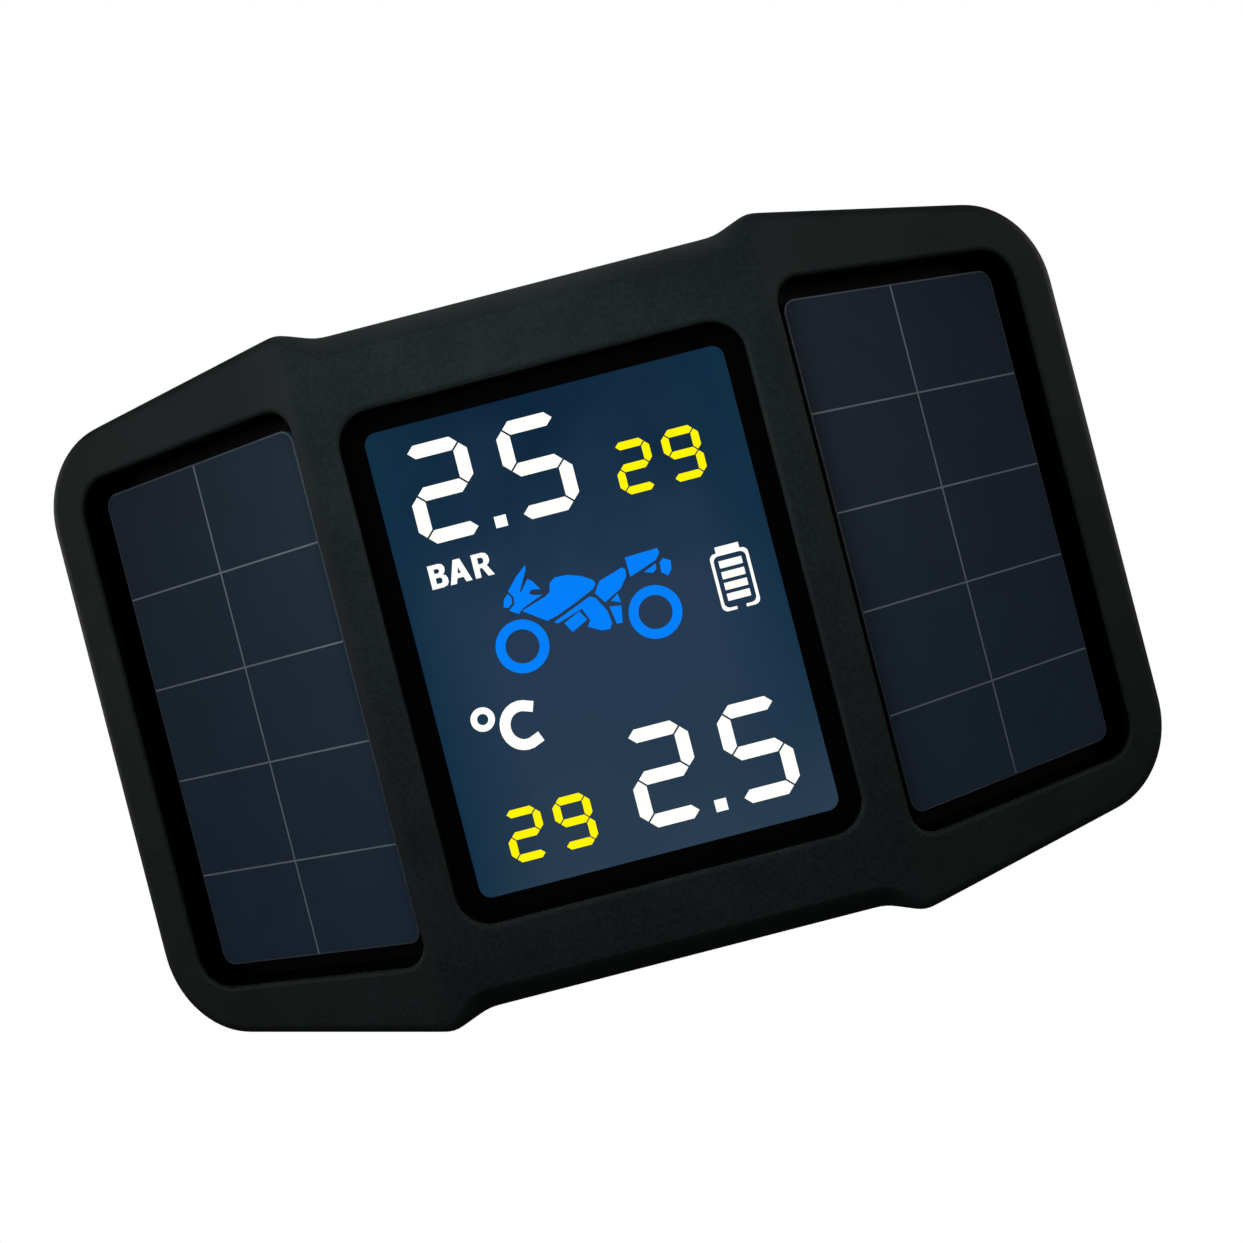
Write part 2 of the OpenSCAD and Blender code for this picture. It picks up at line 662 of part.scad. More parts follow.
front_housing();
rear_cover();
housing_seal();
display_lens();
lens_tape();
lcd_glass();
backlight_panel();
backlight_leds();
lcd_frame();
lcd_ribbon();
ribbon_connector();
main_board();
microcontroller();
radio_receiver();
crystal();
charge_controller();
power_inductor();
chip_capacitors();
motion_sensor();
buzzer();
antenna_coil();
board_screws();
battery();
battery_tape();
battery_leads();
battery_connector();
solar_panel_left();
solar_panel_right();
panel_tape_left();
panel_tape_right();
panel_leads_left();
panel_leads_right();
usb_shell();
usb_tongue();
usb_cover();
cover_pin();
set_button();
switch_plunger();
switch_body();
switch_frame();
case_screws();
bracket_inserts();
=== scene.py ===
import json
import math

import bmesh
import bpy
from mathutils import Euler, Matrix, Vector
from mathutils.geometry import delaunay_2d_cdt


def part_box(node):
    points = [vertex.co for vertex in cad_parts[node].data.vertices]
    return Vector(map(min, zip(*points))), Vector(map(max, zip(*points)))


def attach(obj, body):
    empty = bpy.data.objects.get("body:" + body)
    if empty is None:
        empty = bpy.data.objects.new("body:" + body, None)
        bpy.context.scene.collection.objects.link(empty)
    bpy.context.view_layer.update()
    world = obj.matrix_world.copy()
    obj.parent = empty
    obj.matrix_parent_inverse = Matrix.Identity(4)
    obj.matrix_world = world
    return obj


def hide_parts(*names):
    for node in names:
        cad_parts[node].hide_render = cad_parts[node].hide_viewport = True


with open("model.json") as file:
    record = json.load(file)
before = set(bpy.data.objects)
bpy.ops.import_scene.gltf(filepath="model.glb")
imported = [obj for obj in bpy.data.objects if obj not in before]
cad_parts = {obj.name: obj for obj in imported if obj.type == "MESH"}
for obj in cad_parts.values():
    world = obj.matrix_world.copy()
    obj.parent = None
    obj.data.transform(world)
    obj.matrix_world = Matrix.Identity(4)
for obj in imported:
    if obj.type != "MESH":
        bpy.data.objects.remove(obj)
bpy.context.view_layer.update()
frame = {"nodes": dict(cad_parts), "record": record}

# Looks of the tyre pressure monitor: moulded housing, display, solar panels and rear fittings.
# Plan coordinates are millimetres: x to the right, z up from mid-height, and d the depth behind the
# display face. place() turns them into the row frame, in metres. A loop is a closed list of (x, z).
MM = 0.001
front_low, front_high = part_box("front_housing")
FACE_Y = front_low.y
MID_Z = (front_low.z + front_high.z) / 2


def place(x, d, z):
    """Row-frame point of plan coordinates."""
    return Vector((x * MM, FACE_Y + d * MM, MID_Z + z * MM))


def plan_point(point):
    """Plan coordinates of a row-frame point."""
    return (point.x / MM, (point.y - FACE_Y) / MM, (point.z - MID_Z) / MM)


def limits(node):
    """Lowest and highest corner of a CAD node in plan coordinates: (x, d, z) twice."""
    low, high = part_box(node)
    return plan_point(low), plan_point(high)


# ---- Sizes, taken from the frame where it holds them ----
# Housing
HALF_W = front_high.x / MM
HALF_H = (front_high.z - front_low.z) / 2 / MM
SPLIT_D = limits("front_housing")[1][1]
SHELL_T = 0.5  # thickness of the housing's skin
FOLD_X = 20.3
FOLD_SOFT = 0.6  # half-width of the rounded fold
NOTCH_X = 17.3  # the outline drops from the fold's crest to here
CENTRE_HALF = 29.1  # half-height of the middle section
WING_ANGLE = math.radians(30)
WING_TAPER = math.radians(4)
SLOPE = math.tan(WING_ANGLE)
CORNER_R = 8.0
WING_EDGE = 1.05
CENTRE_EDGE = 2.25
LIP_R = 0.42  # rounding of the pockets' mouths
SEAM_IN = 0.2  # the seam between housing and cover: how far in, how wide, how deep its bevels
SEAM_GAP = 0.02
SEAM_BEVEL = 0.25

# Pockets and solar panels, where s is the way along a wing from its fold
POCKET_IN = 20.95
POCKET_OUT = 44.5
POCKET_HALF = 24.05
POCKET_R_IN = 2.2
POCKET_R_OUT = 3.2
POCKET_FLOOR = 3.54 / math.cos(WING_ANGLE)
PANEL_S = 2.7
PANEL_W = 24.3
PANEL_H = 45.2
PANEL_R = 1.3
PANEL_T = 1.0
PANEL_SUNK = 2.14  # panel face under the wing face, square to it
PANEL_RIM = 0.16
GRID_HALF = 0.075  # half-width of a grid line
GRID_PROUD = 0.015
GRID_ROWS = (0.2215, 0.414, 0.607, 0.808)  # shares of the panel's height, from its top

# Window and display
WINDOW_W = 34.7
WINDOW_H = 43.9
WINDOW_R = 2.9
WINDOW_LIP = 0.5
LENS_LOW, LENS_HIGH = limits("display_lens")
LENS_R = 1.3
SEAT_STEP = 2.0  # the lens's seat reaches this far past the window
SEAT_CLEAR = 0.15
SEAT_DEEP = 0.4
PICTURE_W = 31.4
PICTURE_H = 40.6
PICTURE_R = 1.05
FIELD_LAP = 0.4  # the lit field reaches this far behind the mask
ART_D = LENS_HIGH[1] + 0.02
ART_T = 0.03
ART_SHIFT = (-0.14, 0.08)
BIG_FIGURE = (5.72, 8.55, 1.17)  # width, height and thickness of a figure
SMALL_FIGURE = (3.25, 4.52, 0.67)
UNIT_X = -13.04
UNIT_Z = 6.1
C_X = -8.48
C_Z = -6.9
C_R = 1.54

# Set button
BUTTON_LOW, BUTTON_HIGH = limits("set_button")
BUTTON_D = (BUTTON_LOW[1] + BUTTON_HIGH[1]) / 2
BUTTON_W = 10.0
BUTTON_H = 3.6
BUTTON_GAP = 0.2
BUTTON_CROWN = 0.1
BUTTON_EDGE = 0.3
FLANGE_TOP = CENTRE_HALF - 2.05
FLANGE_T = 0.75
STEM_R = 1.5

# Rear cover
REAR_D = limits("usb_cover")[1][1]
PAD_D = limits("rear_cover")[1][1]
REAR_EDGE = 1.8
REAR_INNER = REAR_D - 2
RIM = 2.4
PAD_HALF_W = 26
PAD_HALF_H = 11
INSERT_X = 19
INSERT_R = 2.9
INSERT_LEN = 6
INSERT_POST_R = 4.2
SCREW_PLACES = [(x, z) for x in (-34, 34) for z in (-18, 18)]
SCREW_SEAT = 22.4
COUNTERBORE_R = 2.2
SCREW_POST_R = 3.1
POST_END = SPLIT_D - 0.2

# Charging port and its flap
PORT_Z = -21.5
WELL_HALF_W = 6.2
WELL_HALF_H = 3.3
WELL_FLOOR = 20.6
SOCKET_HALF_W = 4.52
SOCKET_HALF_H = 1.65
SOCKET_R = 1.55
SOCKET_FLOOR = 19.7
HINGE_D = 23.1
HINGE_Z = -25.4
KNUCKLE_R = 0.88
KNUCKLE_ROOM = 1.0  # radius of the space that the knuckle turns in
PIN_R = 0.45
FLAP_TOP = -16.8
FLAP_BACK = 22.85
FLAP_HALF = 8
FLAP_GAP = 0.3


# ---- Outlines ----
def arc(cx, cz, r, start, end, steps):
    """Points on an arc, angles in degrees."""
    angles = [math.radians(start + (end - start) * i / steps) for i in range(steps + 1)]
    return [(cx + r * math.cos(a), cz + r * math.sin(a)) for a in angles]


def circle(cx, cz, r, steps=40):
    """Closed circle, counter-clockwise."""
    return arc(cx, cz, r, 0, 360, steps)[:-1]


def round_rect(x0, x1, z0, z1, r_in, r_out=None, steps=8):
    """Rectangle with radius r_in at x0 and r_out at x1, counter-clockwise."""
    r_out = r_in if r_out is None else r_out
    corners = ((x1 - r_out, z0 + r_out, r_out, -90), (x1 - r_out, z1 - r_out, r_out, 0),
               (x0 + r_in, z1 - r_in, r_in, 90), (x0 + r_in, z0 + r_in, r_in, 180))
    return [point for cx, cz, r, start in corners for point in arc(cx, cz, r, start, start + 90, steps)]


def centred(half_w, half_h, r, z=0.0, steps=8):
    """Rounded rectangle about x = 0 and the given z."""
    return round_rect(-half_w, half_w, z - half_h, z + half_h, r, steps=steps)


def box_loop(x0, x1, z0, z1):
    """Plain rectangle, counter-clockwise."""
    return [(x0, z0), (x1, z0), (x1, z1), (x0, z1)]


def mirrored(points, across_x=False, across_z=False):
    """The points mirrored, in an order that keeps a loop counter-clockwise."""
    turned = [((-x if across_x else x), (-z if across_z else z)) for x, z in points]
    return turned[::-1] if across_x != across_z else turned


def dense(loop, step):
    """The closed loop with no side longer than step."""
    result = []
    for i, (x0, z0) in enumerate(loop):
        x1, z1 = loop[(i + 1) % len(loop)]
        parts = max(1, math.ceil(math.hypot(x1 - x0, z1 - z0) / step))
        result += [(x0 + (x1 - x0) * k / parts, z0 + (z1 - z0) * k / parts) for k in range(parts)]
    return result


def softened(loop, passes):
    """The closed loop with its corners eased by averaging neighbours."""
    for _ in range(passes):
        loop = [((loop[i - 1][0] + 2 * x + loop[(i + 1) % len(loop)][0]) / 4,
                 (loop[i - 1][1] + 2 * z + loop[(i + 1) % len(loop)][1]) / 4)
                for i, (x, z) in enumerate(loop)]
    return loop


def normals(loop):
    """Outward normal at each point of a counter-clockwise loop."""
    result = []
    for i in range(len(loop)):
        (x0, z0), (x1, z1) = loop[i - 1], loop[(i + 1) % len(loop)]
        length = math.hypot(x1 - x0, z1 - z0)
        result.append(((z1 - z0) / length, (x0 - x1) / length))
    return result


def grown(loop, amount):
    """The loop moved outwards by an amount."""
    return [(x + nx * amount, z + nz * amount) for (x, z), (nx, nz) in zip(loop, normals(loop))]


def body_outline(step=0.5):
    """Outline of the housing, counter-clockwise, with a crest at each fold."""
    corner_x = HALF_W - CORNER_R
    corner_z = HALF_H - (corner_x - FOLD_X) * math.tan(WING_TAPER) - CORNER_R / math.cos(WING_TAPER)
    upper_right = arc(corner_x, corner_z, CORNER_R, 0, 90 - math.degrees(WING_TAPER), 28)
    upper_right += [(FOLD_X, HALF_H), (NOTCH_X, CENTRE_HALF)]
    right = mirrored(upper_right, across_z=True) + upper_right
    return softened(dense(right + mirrored(right, across_x=True), step), 3)


def blend(x, x0, x1):
    """0 at x0 and less, 1 at x1 and more, smooth between."""
    t = min(1.0, max(0.0, (x - x0) / (x1 - x0)))
    return t * t * (3 - 2 * t)


def face_depth(x):
    """Depth of the face at x: level in the middle, then sloping back, with a rounded fold."""
    past = abs(x) - FOLD_X
    if past <= -FOLD_SOFT:
        return 0.0
    if past < FOLD_SOFT:
        return SLOPE * (past + FOLD_SOFT) ** 2 / (4 * FOLD_SOFT)
    return SLOPE * past


def sides(loop):
    """Pairs of neighbours round a closed loop."""
    return list(zip(loop, list(loop[1:]) + list(loop[:1])))


def turns_left(loop):
    """True if the closed loop of plan points runs counter-clockwise."""
    return sum(a[0] * b[1] - b[0] * a[1] for a, b in sides(loop)) > 0


# ---- Mesh building ----
class Skin:
    """A surface made of rings of plan points, bridged to each other and filled between."""

    def __init__(self):
        self.points = []
        self.faces = []

    def add_ring(self, points):
        """Adds points (x, d, z) and returns their ring, a list of their numbers."""
        start = len(self.points)
        self.points += points
        return list(range(start, len(self.points)))

    def ring(self, loop, depth):
        """Adds a loop at a depth, which is a number or a function of x."""
        at = depth if callable(depth) else (lambda x: depth)
        return self.add_ring([(x, at(x), z) for x, z in loop])

    def bridge(self, a, b, skip=()):
        """Joins two rings of equal length with quads that face outwards when b is outside or behind a."""
        n = len(a)
        self.faces += [(a[i], b[i], b[(i + 1) % n], a[(i + 1) % n]) for i in range(n) if i not in skip]

    def cap(self, ring):
        """Closes a ring with one face."""
        self.faces.append(tuple(ring))

    def wrap(self, rings):
        """Joins rings that lead outwards or to the back."""
        for a, b in zip(rings, rings[1:]):
            self.bridge(a, b)

    def close(self, rings):
        """Joins rings like wrap() and caps both ends."""
        self.wrap(rings)
        self.cap(rings[0])
        self.cap(rings[-1][::-1])

    def tunnel(self, rings):
        """Joins rings that lead down into a hole."""
        for a, b in zip(rings, rings[1:]):
            self.bridge(b, a)

    def blind(self, rings):
        """Joins rings like tunnel() and closes the hole's floor."""
        self.tunnel(rings)
        self.cap(rings[-1])

    def fill(self, outer, holes=(), depth=None, lines=(), across=2):
        """Fills the area between the outer ring and the holes. Lines are extra edges in plan.

        The area lies in x and z, or in x and depth where across is 1.
        """
        at = depth if callable(depth) else (lambda x: depth)
        index, coords, edges = [], [], []
        for ring in (outer, *holes):
            start = len(coords)
            index += ring
            coords += [Vector((self.points[i][0], self.points[i][across])) for i in ring]
            edges += [(start + i, start + (i + 1) % len(ring)) for i in range(len(ring))]
        for line in lines:
            start = len(coords)
            coords += [Vector(p) for p in line]
            edges += [(start + i, start + i + 1) for i in range(len(line) - 1)]
        found, _, faces, origin, _, _ = delaunay_2d_cdt(coords, edges, [], 0, 1e-5)
        where = {source: k for k, sources in enumerate(origin) for source in sources}
        names = []
        for spot, sources in zip(found, origin):
            known = [source for source in sources if source < len(index)]
            if known:
                names.append(index[known[0]])
            else:
                names.append(len(self.points))
                self.points.append((spot[0], at(spot[0]), spot[1]))
        # Keep the triangles that can be reached from inside the rings without crossing a ring
        owner = {side: f for f, face in enumerate(faces) for side in sides(face)}
        walls, waiting, start = set(), [], 0
        for ring in (outer, *holes):
            loop = range(start, start + len(ring))
            inward = turns_left([coords[i] for i in loop]) == (ring is outer)
            for a, b in sides([where[i] for i in loop]):
                walls |= {(a, b), (b, a)}
                waiting.append(owner.get((a, b) if inward else (b, a)))
            start += len(ring)
        kept = set()
        while waiting:
            f = waiting.pop()
            if f is None or f in kept:
                continue
            kept.add(f)
            waiting += [owner.get((b, a)) for a, b in sides(faces[f]) if (a, b) not in walls]
        self.faces += [tuple(names[i] for i in faces[f]) for f in sorted(kept)]

    def plate(self, loops, near, far):
        """Adds a flat plate between two depths, from an outline and its holes."""
        front = [self.ring(loop, near) for loop in loops]
        back = [self.ring(loop, far) for loop in loops]
        self.fill(front[0], front[1:], near)
        self.fill(back[0], back[1:], far)
        for a, b in zip(front, back):
            self.bridge(a, b)


def quarter(radius, power=2.0, steps=6):
    """Steps of a rounded edge: (distance left to the wall, depth gained). Power 1 is a chamfer."""
    angles = [math.pi / 2 * k / steps for k in range(steps + 1)]
    return [(radius * (1 - math.sin(a) ** (2 / power)), radius * (1 - math.cos(a) ** (2 / power)))
            for a in angles]


def mesh_object(name, skin):
    """The skin as an object of the scene."""
    mesh = bpy.data.meshes.new(name)
    mesh.from_pydata([place(*p) for p in skin.points], [], skin.faces)
    thing = bpy.data.objects.new(name, mesh)
    bpy.context.scene.collection.objects.link(thing)
    return thing


def make_piece(name, skin, material, replaces=()):
    """A finished mesh piece that rides on the root."""
    return dress(mesh_object(name, skin), material, replaces=replaces)


def dress(piece, material, body="root", replaces=()):
    """Gives a piece its material, shading, body and replaced nodes."""
    piece.data.materials.clear()
    piece.data.materials.append(material)
    piece.data.shade_smooth()
    piece.data.set_sharp_from_angle(angle=math.radians(32))
    even = piece.modifiers.new("even_normals", "WEIGHTED_NORMAL")
    even.keep_sharp = True
    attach(piece, body)
    if replaces:
        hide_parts(*replaces)
    return piece


def close_up(piece):
    """Merges matching points and turns every face outwards."""
    work = bmesh.new()
    work.from_mesh(piece.data)
    bmesh.ops.remove_doubles(work, verts=work.verts, dist=1e-7)
    bmesh.ops.recalc_face_normals(work, faces=work.faces)
    work.to_mesh(piece.data)
    work.free()


def bake_modifiers(piece):
    """Replaces the mesh by its evaluated one, with every modifier applied."""
    evaluated = piece.evaluated_get(bpy.context.evaluated_depsgraph_get())
    piece.data = bpy.data.meshes.new_from_object(evaluated)
    piece.modifiers.clear()


def combine(piece, skin, operation):
    """Cuts a closed skin from the piece, or joins it to the piece."""
    tool = mesh_object("tool", skin)
    close_up(tool)
    change = piece.modifiers.new(operation, "BOOLEAN")
    change.operation = operation
    change.solver = "EXACT"
    change.object = tool
    bake_modifiers(piece)
    bpy.data.objects.remove(tool)


def prism(loop, d0, d1):
    """Closed prism through the depth."""
    skin = Skin()
    skin.close([skin.ring(loop, d0), skin.ring(loop, d1)])
    return skin


def upright(loop, z0, z1):
    """Closed prism along z, from an outline of (x, d) points."""
    skin = Skin()
    skin.close([skin.add_ring([(x, d, z) for x, d in loop]) for z in (z0, z1)])
    return skin


def bar(x0, x1, d, z, r):
    """Closed round bar along x."""
    skin = Skin()
    section = circle(d, z, r, 24)
    skin.close([skin.add_ring([(x, a, b) for a, b in section]) for x in (x0, x1)])
    return skin


def slab_skin(loop, near, far, edge):
    """Closed slab with rounded edges front and back."""
    skin = Skin()
    steps = quarter(edge, steps=4)
    rings = [skin.ring(grown(loop, -gap), near + down) for gap, down in steps]
    rings += [skin.ring(grown(loop, -gap), far - down) for gap, down in reversed(steps)]
    skin.close(rings)
    return skin


# ---- Materials ----
def linear(red, green, blue):
    """Linear colour of 8-bit sRGB values."""
    values = [v / 255 for v in (red, green, blue)]
    return tuple(v / 12.92 if v <= 0.04045 else ((v + 0.055) / 1.055) ** 2.4 for v in values) + (1.0,)


class Shader:
    """A material's node tree, with short calls for what the materials share."""

    def __init__(self, name):
        self.material = bpy.data.materials.new(name)
        self.material.use_nodes = True
        self.tree = self.material.node_tree
        self.base = self.tree.nodes["Principled BSDF"]
        self.coords = self.add("ShaderNodeTexCoord").outputs["Object"]

    def put(self, value, socket):
        """Links an output to the socket, or sets the socket's own value."""
        if hasattr(value, "is_output"):
            self.tree.links.new(value, socket)
        else:
            socket.default_value = value

    def add(self, kind, values=None, **settings):
        """A new node with values for its inputs."""
        node = self.tree.nodes.new(kind)
        for key, value in settings.items():
            setattr(node, key, value)
        for key, value in (values or {}).items():
            self.put(value, node.inputs[key])
        return node

    def set(self, name, value):
        """Sets or links an input of the surface's own shader."""
        self.put(value, self.base.inputs[name])

    def noise(self, size_mm, detail=3.0):
        """Noise of a feature size in millimetres."""
        values = {"Vector": self.coords, "Scale": 1 / (size_mm * MM), "Detail": detail}
        return self.add("ShaderNodeTexNoise", values).outputs["Fac"]

    def ramp(self, factor, stops):
        """Colour ramp over (position, colour) stops."""
        node = self.add("ShaderNodeValToRGB", {"Fac": factor})
        elements = node.color_ramp.elements
        while len(elements) < len(stops):
            elements.new(0.5)
        for element, (position, colour) in zip(elements, stops):
            element.position = position
            element.color = colour
        return node.outputs["Color"]

    def between(self, value, start, end, low=0.0, high=1.0):
        """The value mapped so that start gives low and end gives high."""
        values = {"Value": value, "From Min": start, "From Max": end, "To Min": low, "To Max": high}
        return self.add("ShaderNodeMapRange", values).outputs["Result"]

    def spread(self, noise, low, high):
        """Noise mapped so that its usual range covers low to high."""
        return self.between(noise, 0.3, 0.7, low, high)

    def bump(self, height, depth_mm):
        """Raises the surface by a height output, up to a depth."""
        node = self.add("ShaderNodeBump", {"Height": height, "Distance": depth_mm * MM, "Strength": 1.0})
        self.set("Normal", node.outputs["Normal"])

    def mix(self, factor, a, b):
        """Blend of two colours, each a colour or an output."""
        node = self.add("ShaderNodeMix", data_type="RGBA")
        colour_a, colour_b = [i for i in node.inputs if i.type == "RGBA"]
        self.put(factor, node.inputs["Factor"])
        self.put(a, colour_a)
        self.put(b, colour_b)
        return [o for o in node.outputs if o.type == "RGBA"][0]

    def axis(self, name):
        """One coordinate, in metres of the row frame."""
        return self.add("ShaderNodeSeparateXYZ", {"Vector": self.coords}).outputs[name]

    def maths(self, operation, a, b=0.0, c=0.0):
        """Result of a Math node, each operand a number or an output."""
        return self.add("ShaderNodeMath", {0: a, 1: b, 2: c}, operation=operation).outputs["Value"]

    def lit(self, colour, strength):
        """Makes the surface shine by itself: a black base with no reflection, and an emission."""
        self.set("Base Color", (0.0, 0.0, 0.0, 1.0))
        self.set("Specular IOR Level", 0.0)
        self.set("Emission Color", colour)
        self.set("Emission Strength", strength)


def moulded(name, rgb, rough, grain_mm, depth_mm, vary, specular=0.5, metallic=0.0, tone=0.0):
    """A moulded or finished surface: fine grain, slight mottling and uneven gloss.

    Vary is how far the colour strays, and tone is how much of the grain shows in the colour.
    """
    shader = Shader(name)
    colour = linear(*rgb)[:3]
    darker = tuple(c * (1 - vary) for c in colour) + (1.0,)
    lighter = tuple(min(1.0, c * (1 + vary)) for c in colour) + (1.0,)
    grain = shader.noise(grain_mm, 2.0)
    cloud = shader.maths("ADD", shader.noise(6.0, 4.0), shader.spread(grain, -tone, tone))
    shader.set("Base Color", shader.ramp(cloud, [(0.3, darker), (0.7, lighter)]))
    shader.set("Roughness", shader.spread(grain, *rough))
    shader.set("Specular IOR Level", specular)
    shader.set("Metallic", metallic)
    shader.bump(grain, depth_mm)
    return shader.material


def glowing(name, rgb, strength):
    """Lit liquid crystal segment: even light with a faint unevenness."""
    shader = Shader(name)
    colour = linear(*rgb)
    dim = tuple(c * 0.97 for c in colour[:3]) + (1.0,)
    shader.lit(shader.ramp(shader.noise(2.0), [(0.35, dim), (0.6, colour)]), strength)
    return shader.material


def picture_material():
    """Backlit navy field of the display, deeper at the top and towards its sides, and mottled."""
    shader = Shader("display_field")
    half_w, half_h = PICTURE_W / 2 * MM, PICTURE_H / 2 * MM
    down = shader.between(shader.axis("Z"), MID_Z + half_h, MID_Z - half_h)
    mottled = shader.maths("ADD", down, shader.spread(shader.noise(9.0), -0.12, 0.12))
    colour = shader.ramp(mottled, [(0.0, linear(13, 39, 61)), (0.22, linear(24, 48, 72)),
                                   (0.5, linear(38, 59, 83)), (0.8, linear(38, 58, 79)),
                                   (1.0, linear(43, 62, 81))])
    edge = shader.between(shader.maths("ABSOLUTE", shader.axis("X")), 9 * MM, half_w)
    right = shader.between(shader.axis("X"), 0.0, 16 * MM)
    low_right = shader.maths("MULTIPLY", right, shader.maths("POWER", down, 4.0))
    amount = shader.maths("MULTIPLY", edge, shader.maths("SUBTRACT", 0.9, low_right))
    shader.lit(shader.mix(amount, colour, linear(17, 47, 69)), 1.0)
    return shader.material


def lens_material():
    """Clear flat glass: see-through, with a reflection that grows towards grazing angles."""
    shader = Shader("lens_glass")
    straight, grazing = 0.012, 0.5
    clear = shader.add("ShaderNodeBsdfTransparent")
    gloss = shader.add("ShaderNodeBsdfGlossy", {"Color": (0.8, 0.9, 1.0, 1.0), "Roughness": 0.05})
    facing = shader.add("ShaderNodeLayerWeight", {"Blend": 0.5}).outputs["Facing"]
    amount = shader.maths("MULTIPLY_ADD", shader.maths("POWER", facing, 4.0), grazing, straight)
    joined = shader.add("ShaderNodeMixShader", {0: amount, 1: clear.outputs["BSDF"],
                                                2: gloss.outputs["BSDF"]})
    shader.put(joined.outputs["Shader"], shader.tree.nodes["Material Output"].inputs["Surface"])
    shader.tree.nodes.remove(shader.base)
    return shader.material


def cell_material():
    """Dark blue silicon under clear epoxy, slightly paler towards its foot."""
    shader = Shader("solar_cell")
    up = shader.between(shader.axis("Z"), MID_Z - 23 * MM, MID_Z + 23 * MM)
    mottled = shader.maths("ADD", up, shader.spread(shader.noise(5.0), -0.1, 0.1))
    shader.set("Base Color", shader.ramp(mottled, [(0.0, linear(50, 66, 84)), (1.0, linear(40, 52, 67))]))
    shader.set("Roughness", shader.spread(shader.noise(0.8), 0.42, 0.5))
    shader.set("Specular IOR Level", 0.1)
    shader.bump(shader.noise(0.6), 0.002)
    return shader.material


HOUSING = moulded("housing_plastic", (33, 38, 38), (0.52, 0.66), 0.28, 0.03, 0.2, 0.25, tone=0.25)
COVER = moulded("cover_plastic", (38, 39, 40), (0.55, 0.7), 0.3, 0.03, 0.15, 0.3, tone=0.25)
# Black print and tape. The same near-black is also laid on the housing's recess walls and floors as painted
# shade.
MASK_AND_PAINTED_SHADE = moulded("black_tape", (2, 2, 3), (0.5, 0.6), 0.5, 0.001, 0.2, 0.1)
GRID = moulded("grid_silver", (132, 140, 148), (0.35, 0.5), 0.4, 0.001, 0.15, 0.3)
# Edge of the solar panels: its laminate, in a pale bluish colour that is partly a painted glint along the
# edges.
EDGE_AND_GLINT = moulded("panel_edge_and_glint", (72, 84, 94), (0.3, 0.45), 0.5, 0.002, 0.25, 0.4)
CELL = cell_material()
LENS = lens_material()
FIELD = picture_material()
FLAP = moulded("cover_rubber", (30, 31, 32), (0.5, 0.62), 0.4, 0.006, 0.1, 0.35)
BUTTON = moulded("button_rubber", (42, 43, 45), (0.5, 0.62), 0.4, 0.006, 0.1, 0.35)
WHITE_LIGHT = glowing("digit_white", (255, 254, 246), 1.12)
YELLOW_LIGHT = glowing("digit_yellow", (255, 240, 0), 1.1)
BLUE_LIGHT = glowing("icon_blue", (2, 130, 254), 1.0)

# Finishes of the pieces inside: colour, roughness, grain size, grain depth and how far the colour
# strays, and for metals the specular level and the metallic value
INNER_VALUES = {
    "seal_rubber": ((28, 28, 29), (0.5, 0.65), 0.5, 0.01, 0.15),
    "lcd_glass": ((28, 60, 80), (0.1, 0.18), 1.5, 0.001, 0.1),
    "light_guide": ((235, 238, 240), (0.15, 0.25), 1.0, 0.002, 0.04),
    "led_package": ((238, 225, 160), (0.25, 0.4), 0.4, 0.003, 0.1),
    "white_plastic": ((225, 226, 222), (0.45, 0.6), 0.4, 0.008, 0.05),
    "ribbon_film": ((196, 120, 40), (0.2, 0.35), 0.8, 0.003, 0.15),
    "board_laminate": ((20, 92, 52), (0.25, 0.4), 0.6, 0.006, 0.2),
    "chip_plastic": ((44, 44, 46), (0.5, 0.7), 0.2, 0.008, 0.12),
    "tinned_steel": ((196, 196, 198), (0.25, 0.4), 0.3, 0.003, 0.08, 0.5, 1.0),
    "ferrite": ((88, 88, 92), (0.6, 0.8), 0.2, 0.01, 0.15),
    "ceramic_chip": ((176, 150, 116), (0.5, 0.7), 0.2, 0.006, 0.1),
    "copper": ((214, 140, 96), (0.2, 0.35), 0.3, 0.003, 0.1, 0.5, 1.0),
    "screw_steel": ((120, 121, 124), (0.25, 0.42), 0.2, 0.004, 0.12, 0.5, 1.0),
    "battery_pouch": ((190, 192, 196), (0.3, 0.45), 1.2, 0.02, 0.06, 0.5, 1.0),
    "foam_tape": ((70, 70, 70), (0.7, 0.9), 0.2, 0.02, 0.15),
    "wire_rubber": ((170, 28, 24), (0.4, 0.55), 0.5, 0.004, 0.1),
    "insert_brass": ((205, 168, 92), (0.22, 0.36), 0.3, 0.004, 0.12, 0.5, 1.0),
}
INNER_FINISHES = {name: moulded(name, *values) for name, values in INNER_VALUES.items()}
INNER_FINISHES |= {"black_tape": MASK_AND_PAINTED_SHADE, "cover_rubber": FLAP, "button_rubber": BUTTON}


# ---- Housing ----
def edge_radius(x):
    """Size of the edge between face and side wall: a broad one in the middle, small on the wings."""
    return CENTRE_EDGE + (WING_EDGE - CENTRE_EDGE) * blend(abs(x), NOTCH_X - 0.6, FOLD_X)


def edge_power(x):
    """Roundness of that edge: nearly a chamfer in the middle, a quarter circle on the wings."""
    return 1.25 + 0.75 * blend(abs(x), NOTCH_X, FOLD_X + 1)


def body_edge(base, steps=8):
    """Rings of plan points down the rounded edge, from the face to the side wall."""
    rings = [[] for _ in range(steps + 1)]
    for (x, z), (nx, nz) in zip(base, normals(base)):
        for ring, (gap, drop) in zip(rings, quarter(edge_radius(x), edge_power(x), steps)):
            px, pz = x - nx * gap, z - nz * gap
            ring.append((px, face_depth(px) + drop, pz))
    return rings


